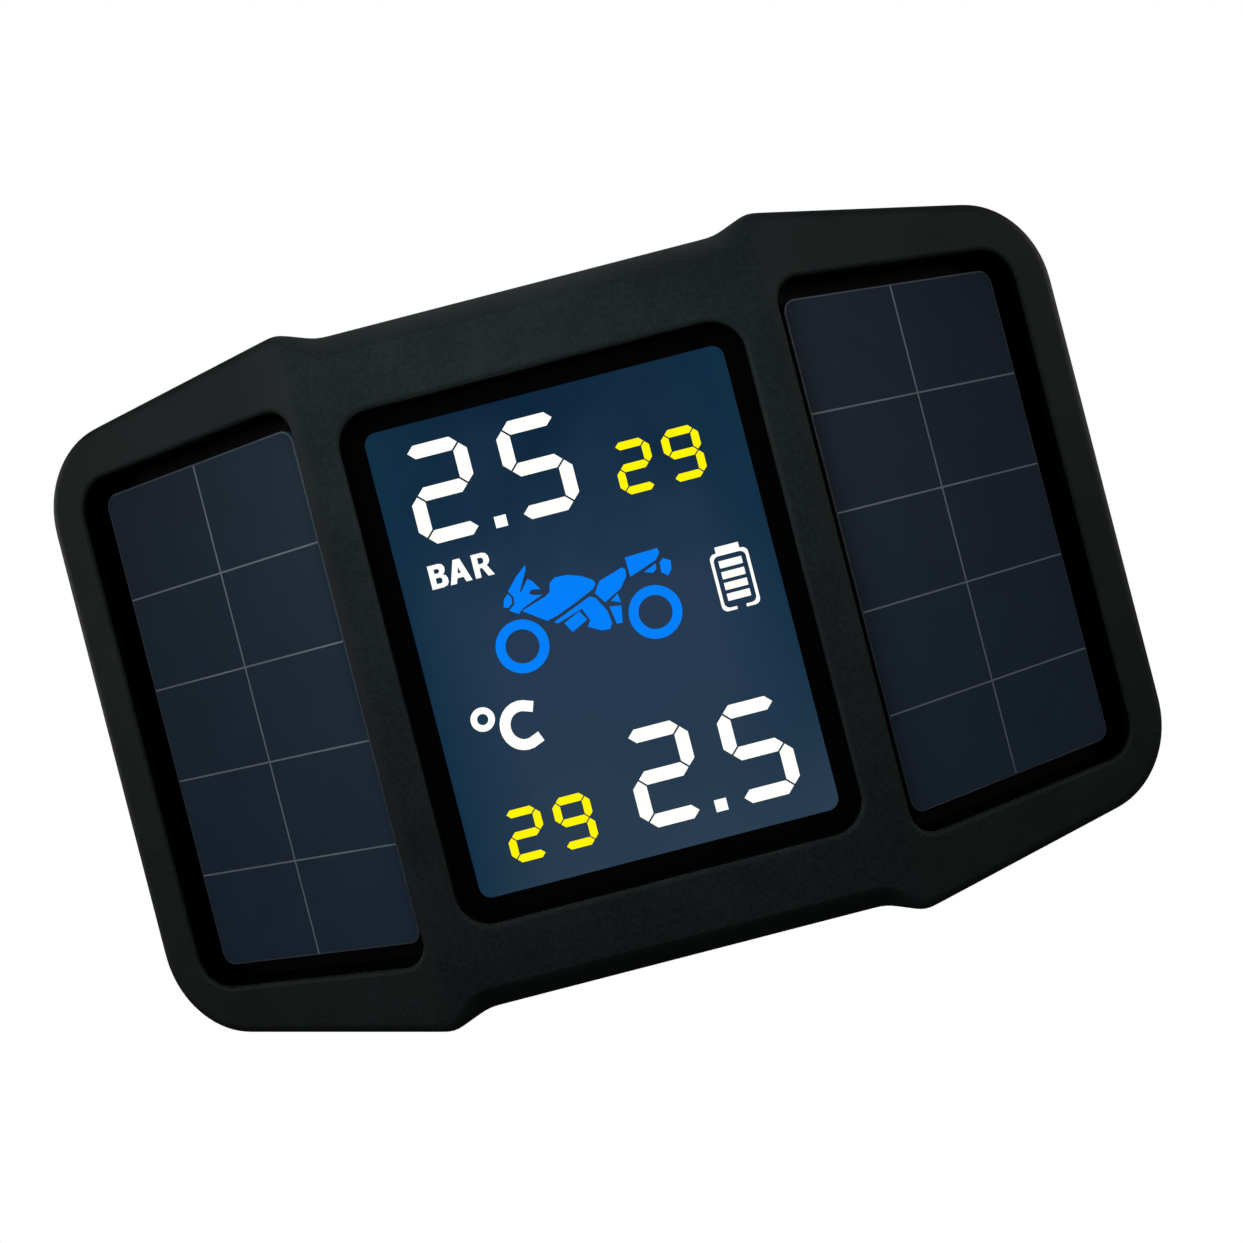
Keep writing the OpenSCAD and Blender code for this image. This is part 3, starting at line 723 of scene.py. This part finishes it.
def fold_lines(count=7, parts=12):
    """Lines along the folds, kept clear of the pockets and of the outline."""
    top = CENTRE_HALF - 0.9
    lines = []
    for k in range(count):
        x = FOLD_X - FOLD_SOFT + 2 * FOLD_SOFT * k / (count - 1)
        low = POCKET_HALF + LIP_R + 0.3 if x > POCKET_IN - LIP_R - 0.1 else 0
        upper = [(x, low + (top - low) * i / parts) for i in range(parts + 1)]
        lower = mirrored(upper, across_z=True)
        for sign in (-1, 1):
            for line in ([lower + upper[1:]] if low == 0 else [lower, upper]):
                lines.append([(sign * px, pz) for px, pz in line])
    return lines


def pocket(skin, side):
    """Adds a solar panel's pocket and returns the ring of its mouth."""
    loop = dense(round_rect(POCKET_IN, POCKET_OUT, -POCKET_HALF, POCKET_HALF, POCKET_R_IN,
                            POCKET_R_OUT), 1.5)
    loop = loop if side > 0 else mirrored(loop, across_x=True)
    mouth = [skin.ring(grown(loop, gap), lambda x: face_depth(x) + down) for gap, down in quarter(LIP_R)]
    floor = skin.ring(loop, lambda x: face_depth(x) + POCKET_FLOOR)
    skin.tunnel(mouth + [floor])
    skin.fill(floor, depth=lambda x: face_depth(x) + POCKET_FLOOR)
    return mouth[0]


def window(skin):
    """Adds the window and the lens's seat behind it, and returns the ring of the window's mouth."""
    loop = dense(centred(WINDOW_W / 2, WINDOW_H / 2, WINDOW_R), 2)
    seat = grown(loop, SEAT_STEP)
    mouth = [skin.ring(grown(loop, gap), down) for gap, down in quarter(WINDOW_LIP)]
    near, far = LENS_LOW[1] - SEAT_CLEAR, LENS_HIGH[1] + SEAT_DEEP
    skin.tunnel(mouth + [skin.ring(loop, near), skin.ring(seat, near), skin.ring(seat, far)])
    return mouth[0]


def housing():
    """Front housing: face, folds, edges, side walls, window and pockets, as a shell."""
    skin = Skin()
    base = body_outline()
    rings = [skin.add_ring(points) for points in body_edge(base)]
    rings.append(skin.ring(base, lambda x: max(face_depth(x) + edge_radius(x), SPLIT_D - SEAM_BEVEL)))
    rings.append(skin.ring(grown(base, -SEAM_IN), SPLIT_D - SEAM_GAP))
    wall = len(rings) - 3
    by_button = [i for i, (x, z) in enumerate(base) if z > 0 and abs(x) < BUTTON_W]
    for k, (a, b) in enumerate(zip(rings, rings[1:])):
        skin.bridge(a, b, by_button[:-1] if k == wall else ())
    front, back = rings[wall], rings[wall + 1]
    button_slot(skin, [front[i] for i in by_button] + [back[i] for i in reversed(by_button)])
    mouths = [pocket(skin, -1), pocket(skin, 1), window(skin)]
    skin.fill(rings[0], mouths, face_depth, fold_lines())
    piece = mesh_object("housing_shell", skin)
    shell = piece.modifiers.new("wall", "SOLIDIFY")
    shell.thickness = SHELL_T * MM
    shell.offset = -1
    bake_modifiers(piece)
    dress(piece, HOUSING, replaces=["front_housing"])
    shade_recesses(piece)


def shade_recesses(piece):
    """Paints the walls and floors of the pockets and of the window near-black as painted shade. The plastic
    there is the housing's own, and the black stands in for the deep shadow in these recesses.
    """
    piece.data.materials.append(MASK_AND_PAINTED_SHADE)
    slack = 0.05
    reach = SEAT_STEP + SHELL_T + 0.1
    for face in piece.data.polygons:
        x, d, z = plan_point(face.center)
        in_pocket = POCKET_IN - slack < abs(x) < POCKET_OUT + slack and abs(z) < POCKET_HALF + slack
        in_window = abs(x) < WINDOW_W / 2 + reach and abs(z) < WINDOW_H / 2 + reach
        # Faces deep inside a pocket or the window take the near-black second material: painted shade.
        if (in_pocket or in_window) and d - face_depth(x) > LIP_R:
            face.material_index = 1


def button_slot(skin, outer):
    """Fills the top wall's stretch round the set button, with the button's slot in it."""
    half_w, half_d = BUTTON_W / 2 + BUTTON_GAP, BUTTON_H / 2 + BUTTON_GAP
    loop = centred(half_w, half_d, half_d - 0.01, BUTTON_D)
    slot = skin.add_ring([(x, d, CENTRE_HALF) for x, d in loop])
    skin.fill(outer, [slot], across=1)


# ---- Rear cover ----
def screw_holes(skin):
    """Adds the counterbores of the case screws and returns the rings of their mouths."""
    mouths = []
    for x, z in SCREW_PLACES:
        hole = circle(x, z, COUNTERBORE_R)
        rings = [skin.ring(grown(hole, 0.25), REAR_D), skin.ring(hole, REAR_D - 0.25),
                 skin.ring(hole, SCREW_SEAT)]
        skin.blind(rings)
        mouths.append(rings[0])
    return mouths


def mounting_pad(skin):
    """Adds the raised pad with the bores of its two inserts, and returns the ring round its foot."""
    pad = dense(centred(PAD_HALF_W, PAD_HALF_H, 3), 4)
    rings = [skin.ring(grown(pad, 0.3), REAR_D), skin.ring(grown(pad, 0.08), REAR_D + 0.08),
             skin.ring(pad, REAR_D + 0.3)]
    rings += [skin.ring(grown(pad, -gap), PAD_D - down) for gap, down in reversed(quarter(0.35, steps=4))]
    skin.tunnel(rings)
    mouths = []
    for x in (-INSERT_X, INSERT_X):
        hole = circle(x, 0, INSERT_R)
        bore = [skin.ring(grown(hole, 0.15), PAD_D), skin.ring(hole, PAD_D - 0.15),
                skin.ring(hole, PAD_D - INSERT_LEN - 0.1)]
        skin.blind(bore)
        mouths.append(bore[0])
    skin.fill(rings[-1], mouths, PAD_D)
    return rings[0]


def port_recess(skin):
    """Adds the flap's recess, the well in it and the socket's hole, and returns the recess's mouth."""
    floor = FLAP_BACK - 0.05
    half = FLAP_HALF + FLAP_GAP
    recess = dense(round_rect(-half, half, HINGE_Z - 1.3, FLAP_TOP + FLAP_GAP, 0.7), 3)
    rings = [skin.ring(grown(recess, gap), REAR_D - down) for gap, down in quarter(0.2, steps=3)]
    rings.append(skin.ring(recess, floor))
    skin.tunnel(rings)
    well = dense(centred(WELL_HALF_W, WELL_HALF_H, 1, PORT_Z), 3)
    socket = centred(SOCKET_HALF_W, SOCKET_HALF_H, SOCKET_R, PORT_Z)
    well_rings = [skin.ring(well, floor), skin.ring(well, WELL_FLOOR)]
    socket_rings = [skin.ring(socket, WELL_FLOOR), skin.ring(socket, SOCKET_FLOOR)]
    skin.tunnel(well_rings)
    skin.blind(socket_rings)
    skin.fill(rings[-1], [well_rings[0]], floor)
    skin.fill(well_rings[1], [socket_rings[0]], WELL_FLOOR)
    return rings[0]


def inner_side(skin, base):
    """Adds the cover's inner side with its posts, and returns the ring of its rim."""
    rim = softened(grown(base, -RIM), 2)
    rings = [skin.ring(rim, SPLIT_D + SEAM_GAP), skin.ring(rim, REAR_INNER)]
    skin.tunnel(rings)
    posts = [(circle(x, z, SCREW_POST_R), POST_END) for x, z in SCREW_PLACES]
    posts += [(circle(x, 0, INSERT_POST_R), PAD_D - INSERT_LEN - 1) for x in (-INSERT_X, INSERT_X)]
    posts.append((round_rect(-9.8, 9.8, HINGE_Z - 1.2, PORT_Z + 4.5, 0.5), POST_END))
    feet = []
    for loop, end in posts:
        post = [skin.ring(loop, REAR_INNER), skin.ring(loop, end)]
        skin.blind(post)
        feet.append(post[0])
    skin.fill(rings[-1], feet, REAR_INNER)
    return rings[0]


def rear_cover():
    """Rear cover: rounded tray with the mounting pad, counterbores and the port's recess."""
    skin = Skin()
    base = body_outline()
    outer = [skin.ring(grown(base, -SEAM_IN), SPLIT_D + SEAM_GAP), skin.ring(base, SPLIT_D + SEAM_BEVEL)]
    outer += [skin.ring(grown(base, -gap), REAR_D - down) for gap, down in reversed(quarter(REAR_EDGE))]
    skin.wrap(outer)
    mouths = screw_holes(skin) + [mounting_pad(skin), port_recess(skin)]
    skin.fill(outer[-1], mouths, REAR_D)
    skin.fill(outer[0], [inner_side(skin, base)], SPLIT_D + SEAM_GAP)
    piece = mesh_object("rear_shell", skin)
    close_up(piece)
    combine(piece, bar(-FLAP_HALF - 0.28, FLAP_HALF + 0.28, HINGE_D, HINGE_Z, KNUCKLE_ROOM), "DIFFERENCE")
    dress(piece, COVER, replaces=["rear_cover"])


# ---- Display ----
def window_glass():
    """The window's clear lens."""
    loop = round_rect(LENS_LOW[0], LENS_HIGH[0], LENS_LOW[2], LENS_HIGH[2], LENS_R)
    skin = slab_skin(loop, LENS_LOW[1], LENS_HIGH[1], 0.12)
    make_piece("display_window", skin, LENS, ["display_lens"])


def window_mask():
    """Black print inside the glass's back, with the round-cornered hole that shows the picture."""
    skin = Skin()
    margin = 0.1
    outer = round_rect(LENS_LOW[0] + margin, LENS_HIGH[0] - margin, LENS_LOW[2] + margin,
                       LENS_HIGH[2] - margin, LENS_R - margin)
    hole = centred(PICTURE_W / 2, PICTURE_H / 2, PICTURE_R)
    skin.plate([outer, hole], LENS_HIGH[1] - 0.06, LENS_HIGH[1] - 0.02)
    close_up(make_piece("window_mask", skin, MASK_AND_PAINTED_SHADE))


def picture_field():
    """The backlit field behind the lit segments."""
    loop = centred(PICTURE_W / 2 + FIELD_LAP, PICTURE_H / 2 + FIELD_LAP, 1.1)
    skin = slab_skin(loop, LENS_HIGH[1] + 0.1, LENS_HIGH[1] + 0.18, 0.02)
    make_piece("display_field", skin, FIELD)


# Segments lit for each figure: a top, b upper right, c lower right, d bottom, e lower left,
# f upper left, g middle
FIGURES = {"2": "abged", "5": "afgcd", "9": "abcdfg"}


def segment(ax, az, bx, bz, thick):
    """Bar with pointed ends between two corners of a figure."""
    length = math.hypot(bx - ax, bz - az)
    ux, uz = (bx - ax) / length, (bz - az) / length
    half = thick / 2
    gap = 0.07 * thick + 0.03
    outline = []
    for along, across in ((gap, 0), (gap + half, -half), (length - gap - half, -half), (length - gap, 0),
                          (length - gap - half, half), (gap + half, half)):
        outline.append((ax + ux * along - uz * across, az + uz * along + ux * across))
    return outline


def figure_loops(figure, x, z, width, height, thick):
    """Outlines of a seven-segment figure whose box starts at (x, z)."""
    half = thick / 2
    left, right, low, high = x + half, x + width - half, z + half, z + height - half
    middle = z + height * 0.505
    ends = {"a": (left, high, right, high), "b": (right, high, right, middle),
            "c": (right, middle, right, low), "d": (left, low, right, low), "e": (left, middle, left, low),
            "f": (left, high, left, middle), "g": (left, middle, right, middle)}
    return [segment(*ends[name], thick) for name in FIGURES[figure]]


def art_piece(name, shapes, material):
    """Thin lit shapes behind the glass. Each shape is an outline, or an outline with its holes."""
    skin = Skin()
    for shape in shapes:
        loops = shape if isinstance(shape[0], list) else [shape]
        loops = [[(x + ART_SHIFT[0], z + ART_SHIFT[1]) for x, z in loop] for loop in loops]
        skin.plate(loops, ART_D, ART_D + ART_T)
    close_up(make_piece(name, skin, material))


def readings():
    """The two pressure readings in white and the two temperature readings in yellow."""
    top, low = 9.81, -18.16
    white = figure_loops("2", -12.95, top, *BIG_FIGURE) + figure_loops("5", -4.65, top, *BIG_FIGURE)
    white.append(box_loop(-6.5, -5.47, top, 10.79))
    white += figure_loops("2", -0.84, low, *BIG_FIGURE) + figure_loops("5", 7.43, low, *BIG_FIGURE)
    white.append(box_loop(5.55, 6.59, low, -17.13))
    top, low = 9.73, -18.14
    yellow = figure_loops("2", 4.54, top, *SMALL_FIGURE) + figure_loops("9", 8.83, top, *SMALL_FIGURE)
    yellow += figure_loops("2", -12.19, low, *SMALL_FIGURE) + figure_loops("9", -7.88, low, *SMALL_FIGURE)
    art_piece("reading_pressure", white, WHITE_LIGHT)
    art_piece("reading_temperature", yellow, YELLOW_LIGHT)


def motorcycle():
    """Plain side view of a motorcycle."""
    shapes = [[circle(x, -0.42, 2.28, 48), circle(x, -0.42, 1.45, 40)] for x in (-6.87, 4.77)]
    nose = [(-6.5, 2.3), (-6.1, 2.65), (-5.0, 3.1), (-4.15, 3.4), (-4.9, 3.55), (-5.25, 3.8), (-4.9, 4.05),
            (-4.2, 3.9), (-4.7, 4.75), (-5.05, 5.0), (-5.8, 4.1), (-5.95, 4.1), (-5.0, 5.8), (-4.95, 6.2),
            (-5.95, 5.4), (-6.9, 4.4), (-6.55, 3.8), (-6.65, 3.2), (-7.2, 2.8)]
    lamp = [(-7.6, 3.15), (-7.2, 3.05), (-6.8, 3.35), (-6.75, 3.85), (-7.0, 4.2), (-7.4, 3.8)]
    tank = [(-6.15, 2.5), (-4.3, 1.15), (-3.4, 1.35), (-1.7, 2.0), (0.15, 2.8), (0.45, 3.2), (0.3, 3.55),
            (-0.55, 4.1), (-1.7, 4.5), (-2.8, 4.55), (-3.3, 4.2), (-3.5, 3.45), (-3.9, 3.2)]
    belly = [(-3.75, 0.9), (-3.5, 0.7), (-1.2, 1.4), (-0.75, 0.3), (-1.1, -0.2), (0.0, -0.8), (0.7, -0.85),
             (0.98, -0.4), (0.85, 0.7), (0.15, 2.0), (-0.3, 2.25)]
    block = [(-2.95, 0.6), (-2.45, -0.3), (-1.0, 0.4), (-1.45, 1.25)]
    seat = [(0.2, 2.4), (0.85, 1.45), (2.4, 2.25), (3.1, 3.1), (3.2, 3.7), (2.95, 3.95), (0.8, 3.3)]
    tail = [(3.45, 3.0), (5.9, 3.85), (6.35, 4.4), (6.25, 4.8), (3.4, 4.7)]
    guard = [(4.65, 3.1), (5.4, 2.85), (5.75, 3.1), (5.8, 3.55)]
    light = [(6.1, 2.7), (6.6, 2.3), (7.0, 2.8), (7.1, 3.5), (6.5, 3.85), (6.15, 3.55)]
    pegs = [[(1.35, 1.45), (2.15, 1.1), (2.05, 1.9)], [(1.1, 1.0), (1.35, -0.55), (1.85, -0.6), (2.1, 0.85)]]
    shapes += [nose, lamp, tank, belly, block, seat, tail, guard, light, *pegs]
    art_piece("motorcycle_icon", shapes, BLUE_LIGHT)


def battery_icon():
    """Charge gauge: a cell's outline with its cap and four bars, open at the bottom."""
    x0, x1, z0, z1 = 10.32, 13.65, -1.91, 3.08
    mouth_left, mouth_right = 11.6, 12.4
    line, r = 0.26, 0.5
    outer = [(mouth_left, z0), (x0 + r, z0)]
    outer += arc(x0 + r, z0 + r, r, 270, 180, 5) + arc(x0 + r, z1 - r, r, 180, 90, 5)
    outer += arc(x1 - r, z1 - r, r, 90, 0, 5) + arc(x1 - r, z0 + r, r, 0, -90, 5) + [(mouth_right, z0)]
    middle = (x0 + x1) / 2
    inner = []
    for x, z in outer:
        on_side = abs(x - middle) > 1.1
        on_end = z < z0 + r + 0.01 or z > z1 - r - 0.01
        step_x = line if x < middle else -line
        step_z = line if z < 0.5 else -line
        inner.append((x + on_side * step_x, z + on_end * step_z))
    shapes = [(outer + inner[::-1])[::-1], box_loop(10.95, 13.0, 2.95, 3.6)]
    shapes += [box_loop(10.99, 12.98, z, z + 0.62) for z in (1.76, 0.81, -0.13, -1.07)]
    art_piece("battery_icon", shapes, WHITE_LIGHT)


def stroke(path, width):
    """Outline of an open line of the given width, with mitred bends."""
    turns = []
    for i, (x, z) in enumerate(path):
        before, after = path[max(i - 1, 0)], path[min(i + 1, len(path) - 1)]
        ahead = Vector((after[0] - x, after[1] - z)).normalized() if i + 1 < len(path) else Vector((0, 0))
        behind = Vector((x - before[0], z - before[1])).normalized() if i else Vector((0, 0))
        along = (ahead + behind).normalized()
        full = (ahead if i + 1 < len(path) else behind).dot(along)
        reach = width / 2 / max(full, 0.5)
        turns.append((along.y * reach, -along.x * reach))
    right = [(x + dx, z + dz) for (x, z), (dx, dz) in zip(path, turns)]
    left = [(x - dx, z - dz) for (x, z), (dx, dz) in zip(path, turns)]
    return right + left[::-1]


def units():
    """Unit letters of pressure and temperature."""
    b = [[(0, 0), (0.95, 0), (1.26, 0.1), (1.42, 0.34), (1.42, 0.72), (1.28, 0.96), (1.08, 1.06),
          (1.25, 1.18), (1.34, 1.4), (1.34, 1.66), (1.2, 1.9), (0.92, 2), (0, 2)],
         [(0.45, 1.24), (0.75, 1.24), (0.88, 1.34), (0.88, 1.52), (0.75, 1.62), (0.45, 1.62)],
         [(0.45, 0.38), (0.82, 0.38), (0.96, 0.48), (0.96, 0.76), (0.82, 0.87), (0.45, 0.87)]]
    a = [[(0, 0), (0.5, 0), (0.64, 0.44), (1.16, 0.44), (1.3, 0), (1.8, 0), (1.18, 2), (0.62, 2)],
         [(0.76, 0.82), (1.04, 0.82), (0.9, 1.36)]]
    r = [[(0, 0), (0.46, 0), (0.46, 0.76), (0.68, 0.76), (1.04, 0), (1.56, 0), (1.1, 0.9), (1.32, 1.08),
          (1.4, 1.32), (1.36, 1.66), (1.2, 1.9), (0.9, 2), (0, 2)],
         [(0.46, 1.1), (0.76, 1.1), (0.92, 1.22), (0.92, 1.5), (0.76, 1.63), (0.46, 1.63)]]
    letters = [[[(UNIT_X + 1.05 * (start + x), UNIT_Z + 1.02 * z) for x, z in loop] for loop in letter]
               for start, letter in ((0, b), (1.52, a), (3.62, r))]
    art_piece("unit_pressure", letters, WHITE_LIGHT)
    bend = [(x, C_Z + (z - C_Z) * 1.08) for x, z in arc(C_X, C_Z, C_R, 62, 298, 16)]
    letter_c = [(C_X + 1.2, C_Z + 1.33)] + bend[1:-1] + [(C_X + 1.25, C_Z - 1.26)]
    art_piece("unit_temperature", [stroke(letter_c, 0.92)], WHITE_LIGHT)
    degree = [circle(-11.69, -5.58, radius, steps) for radius, steps in ((1.04, 32), (0.48, 24))]
    art_piece("unit_degree", [degree], WHITE_LIGHT)


# ---- Solar panels ----
def wing_point(side, s, n, z):
    """Plan point at s along the wing and n under its face."""
    x = FOLD_X + s * math.cos(WING_ANGLE) - n * math.sin(WING_ANGLE)
    return (side * x, s * math.sin(WING_ANGLE) + n * math.cos(WING_ANGLE), z)


def on_wing(skin, side):
    """Skin points, drawn as (s, n, z), laid on a wing."""
    skin.points = [wing_point(side, s, n, z) for s, n, z in skin.points]
    if side < 0:
        skin.faces = [face[::-1] for face in skin.faces]
    return skin


def solar_panel(side, label):
    """One wing's panel: dark cells, the edge round them, and the silver grid on them. The edge is pale
    partly as its own laminate and partly as a painted glint.
    """
    s0, s1, half, rim = PANEL_S, PANEL_S + PANEL_W, PANEL_H / 2, PANEL_RIM
    loop = round_rect(s0 + rim, s1 - rim, -half + rim, half - rim, PANEL_R - rim)
    cells = slab_skin(loop, PANEL_SUNK, PANEL_SUNK + PANEL_T - 0.02, 0.05)
    make_piece(f"solar_cells_{label}", on_wing(cells, side), CELL, [f"solar_panel_{label}"])
    # The edge ring's pale colour is partly the laminate's own and partly a painted glint.
    edge = Skin()
    top, back = PANEL_SUNK + 0.01, PANEL_SUNK + PANEL_T
    outer = dense(round_rect(s0, s1, -half, half, PANEL_R), 3)
    inner = grown(outer, -rim - 0.01)
    rings = [edge.ring(outer, PANEL_SUNK + 0.08), edge.ring(grown(outer, -0.06), top), edge.ring(inner, top),
             edge.ring(inner, back), edge.ring(outer, back)]
    edge.wrap(rings + rings[:1])
    close_up(make_piece(f"panel_edge_and_glint_{label}", on_wing(edge, side), EDGE_AND_GLINT))
    grid = Skin()
    rows = [half - PANEL_H * share for share in GRID_ROWS]
    middle = (s0 + s1) / 2
    bars = [box_loop(s0 + rim, s1 - rim, z - GRID_HALF, z + GRID_HALF) for z in rows]
    bars.append(box_loop(middle - GRID_HALF, middle + GRID_HALF, -half + rim, half - rim))
    for loop in bars:
        # The middle line lies a little higher, so that no two lines share a face
        top = PANEL_SUNK - GRID_PROUD - 0.002 * (loop is bars[-1])
        grid.close([grid.ring(loop, top), grid.ring(loop, PANEL_SUNK + 0.02)])
    close_up(make_piece(f"cell_grid_{label}", on_wing(grid, side), GRID))


# ---- Moving pieces ----
def port_flap():
    """Rubber cover of the charging port: flap, plug, hinge knuckle, finger notch and three ribs."""
    loop = dense(round_rect(-FLAP_HALF, FLAP_HALF, HINGE_Z + 0.2, FLAP_TOP, 0.8), 2)
    piece = mesh_object("port_flap", slab_skin(loop, FLAP_BACK, REAR_D, 0.3))
    close_up(piece)
    combine(piece, bar(-FLAP_HALF, FLAP_HALF, HINGE_D, HINGE_Z, KNUCKLE_R), "UNION")
    plug = centred(WELL_HALF_W - 0.4, WELL_HALF_H - 0.4, 0.8, PORT_Z)
    hollow = centred(WELL_HALF_W - 1.2, WELL_HALF_H - 1.2, 0.4, PORT_Z)
    combine(piece, prism(plug, FLAP_BACK - 1, FLAP_BACK + 0.2), "UNION")
    combine(piece, prism(hollow, FLAP_BACK - 1.5, FLAP_BACK), "DIFFERENCE")
    combine(piece, prism(centred(3, 1, 0.6, FLAP_TOP), REAR_D - 0.4, REAR_D + 1), "DIFFERENCE")
    for k in range(3):
        rib = centred(2.6, 0.175, 0.17, FLAP_TOP - 2.225 - 0.8 * k)
        combine(piece, prism(rib, REAR_D - 0.1, REAR_D + 0.12), "UNION")
    combine(piece, bar(-FLAP_HALF - 1, FLAP_HALF + 1, HINGE_D, HINGE_Z, PIN_R), "DIFFERENCE")
    dress(piece, FLAP, "port_cover", ["usb_cover"])


def push_button():
    """Set button: stadium cap with a crowned top, on its flange and stem."""
    half, top = BUTTON_H / 2, BUTTON_HIGH[2]
    loop = centred(BUTTON_W / 2, half, half - 0.01, BUTTON_D, steps=12)
    skin = Skin()
    heights = [(0.0, FLANGE_TOP)]
    heights += [(gap, top - BUTTON_CROWN - down) for gap, down in reversed(quarter(BUTTON_EDGE))]
    rings = [skin.add_ring([(x, d, z) for x, d in grown(loop, -gap)]) for gap, z in heights]
    for share in (0.75, 0.45, 0.15):
        crown = top - BUTTON_CROWN * share ** 2
        rings.append(skin.add_ring([(x * (share + 0.08), BUTTON_D + (d - BUTTON_D) * share, crown)
                                    for x, d in loop]))
    skin.close(rings)
    piece = mesh_object("set_button_cap", skin)
    close_up(piece)
    flange = centred(BUTTON_W / 2 + 1, half + 0.8, 0.6, BUTTON_D)
    combine(piece, upright(flange, FLANGE_TOP - FLANGE_T, FLANGE_TOP + 0.01), "UNION")
    combine(piece, upright(circle(0, BUTTON_D, STEM_R, 24), BUTTON_LOW[2], FLANGE_TOP - 0.7), "UNION")
    dress(piece, BUTTON, "button", ["set_button"])


def finish_inner_nodes():
    """Procedural materials for the CAD nodes that stay."""
    slots = {part["node"]: part["material_slot"] for part in frame["record"]["subparts"]}
    for name, node in frame["nodes"].items():
        if not node.hide_render:
            node.data.materials.clear()
            node.data.materials.append(INNER_FINISHES[slots[name]])


# ---- Camera, stage and light ----
def camera():
    """Camera close in front of the display, rolled so that the part leans to the left."""
    data = bpy.data.cameras.new("view")
    data.sensor_width = 36
    data.lens = 41.73
    data.shift_x = -0.0323
    data.shift_y = -0.0368
    data.clip_start = 0.01
    data.clip_end = 20
    eye = bpy.data.objects.new("view", data)
    eye.location = (0.0059, FACE_Y - 0.1192, MID_Z + 0.0025)
    look = Euler((math.pi / 2, 0, 0)).to_matrix()
    roll = Euler((0, 0, math.radians(-14.5))).to_matrix()
    eye.rotation_euler = (look @ roll).to_euler()
    bpy.context.scene.collection.objects.link(eye)
    bpy.context.scene.camera = eye


def stage():
    """White floor and surround that only the camera sees, so that they add no light."""
    material = bpy.data.materials.new("stage_white")
    material.use_nodes = True
    nodes = material.node_tree.nodes
    nodes.remove(nodes["Principled BSDF"])
    glow = nodes.new("ShaderNodeEmission")
    glow.inputs["Color"].default_value = (1.0, 1.0, 1.0, 1.0)
    material.node_tree.links.new(glow.outputs["Emission"], nodes["Material Output"].inputs["Surface"])
    for name, add in (("floor", floor_mesh), ("surround", surround_mesh)):
        thing = bpy.data.objects.new(name, add())
        thing.data.materials.append(material)
        bpy.context.scene.collection.objects.link(thing)
        for ray in ("diffuse", "glossy", "transmission", "shadow", "volume_scatter"):
            setattr(thing, "visible_" + ray, False)


def floor_mesh():
    """Wide square just under the part."""
    mesh = bpy.data.meshes.new("floor")
    half, z = 4.0, -0.0005
    mesh.from_pydata([(x, y, z) for x, y in box_loop(-half, half, -half, half)], [], [(0, 1, 2, 3)])
    return mesh


def surround_mesh():
    """Large ball round the whole scene."""
    mesh = bpy.data.meshes.new("surround")
    ball = bmesh.new()
    bmesh.ops.create_icosphere(ball, subdivisions=3, radius=5)
    ball.to_mesh(mesh)
    ball.free()
    return mesh


def lamp(name, place_mm, size_mm, watts, colour=(1.0, 1.0, 1.0), aim=(0.0, 0.0, 30.0), reflected=True):
    """Square soft light at a row-frame place, aimed at a point, both in millimetres.

    Where reflected is False, glossy surfaces don't show it.
    """
    data = bpy.data.lights.new(name, "AREA")
    data.shape = "SQUARE"
    data.size = size_mm * MM
    data.energy = watts
    data.color = colour
    light = bpy.data.objects.new(name, data)
    start, end = Vector(place_mm) * MM, Vector(aim) * MM
    light.location = start
    light.rotation_euler = (end - start).to_track_quat("-Z", "Y").to_euler()
    light.visible_camera = False
    light.visible_glossy = reflected
    bpy.context.scene.collection.objects.link(light)


def lights():
    """Dim surround, a near key light over the face, and soft lamps all round."""
    world = bpy.data.worlds.new("studio")
    world.use_nodes = True
    background = world.node_tree.nodes["Background"]
    background.inputs["Color"].default_value = (0.9, 0.95, 1.0, 1.0)
    background.inputs["Strength"].default_value = 0.03
    bpy.context.scene.world = world
    lamp("key", (-7, -60, 62), 30, 0.0208, (0.85, 1.0, 1.0), (0.0, 0.0, 40.0), reflected=False)
    lamp("left", (-270, -170, 100), 140, 0.14, (1.0, 0.95, 1.0))
    lamp("right", (270, -170, 100), 140, 0.115, (1.0, 0.95, 0.98))
    lamp("top", (0, 120, 330), 220, 0.08, (1.0, 0.98, 1.0))
    lamp("rear", (60, 320, 220), 260, 2.6, reflected=False)
    lamp("side_left", (-350, 170, 100), 160, 0.12)
    lamp("side_right", (350, 170, 100), 160, 0.12)


camera()
stage()
lights()
bpy.context.scene.view_settings.view_transform = "Standard"
housing()
rear_cover()
window_glass()
window_mask()
picture_field()
readings()
motorcycle()
battery_icon()
units()
solar_panel(-1, "left")
solar_panel(1, "right")
port_flap()
push_button()
finish_inner_nodes()
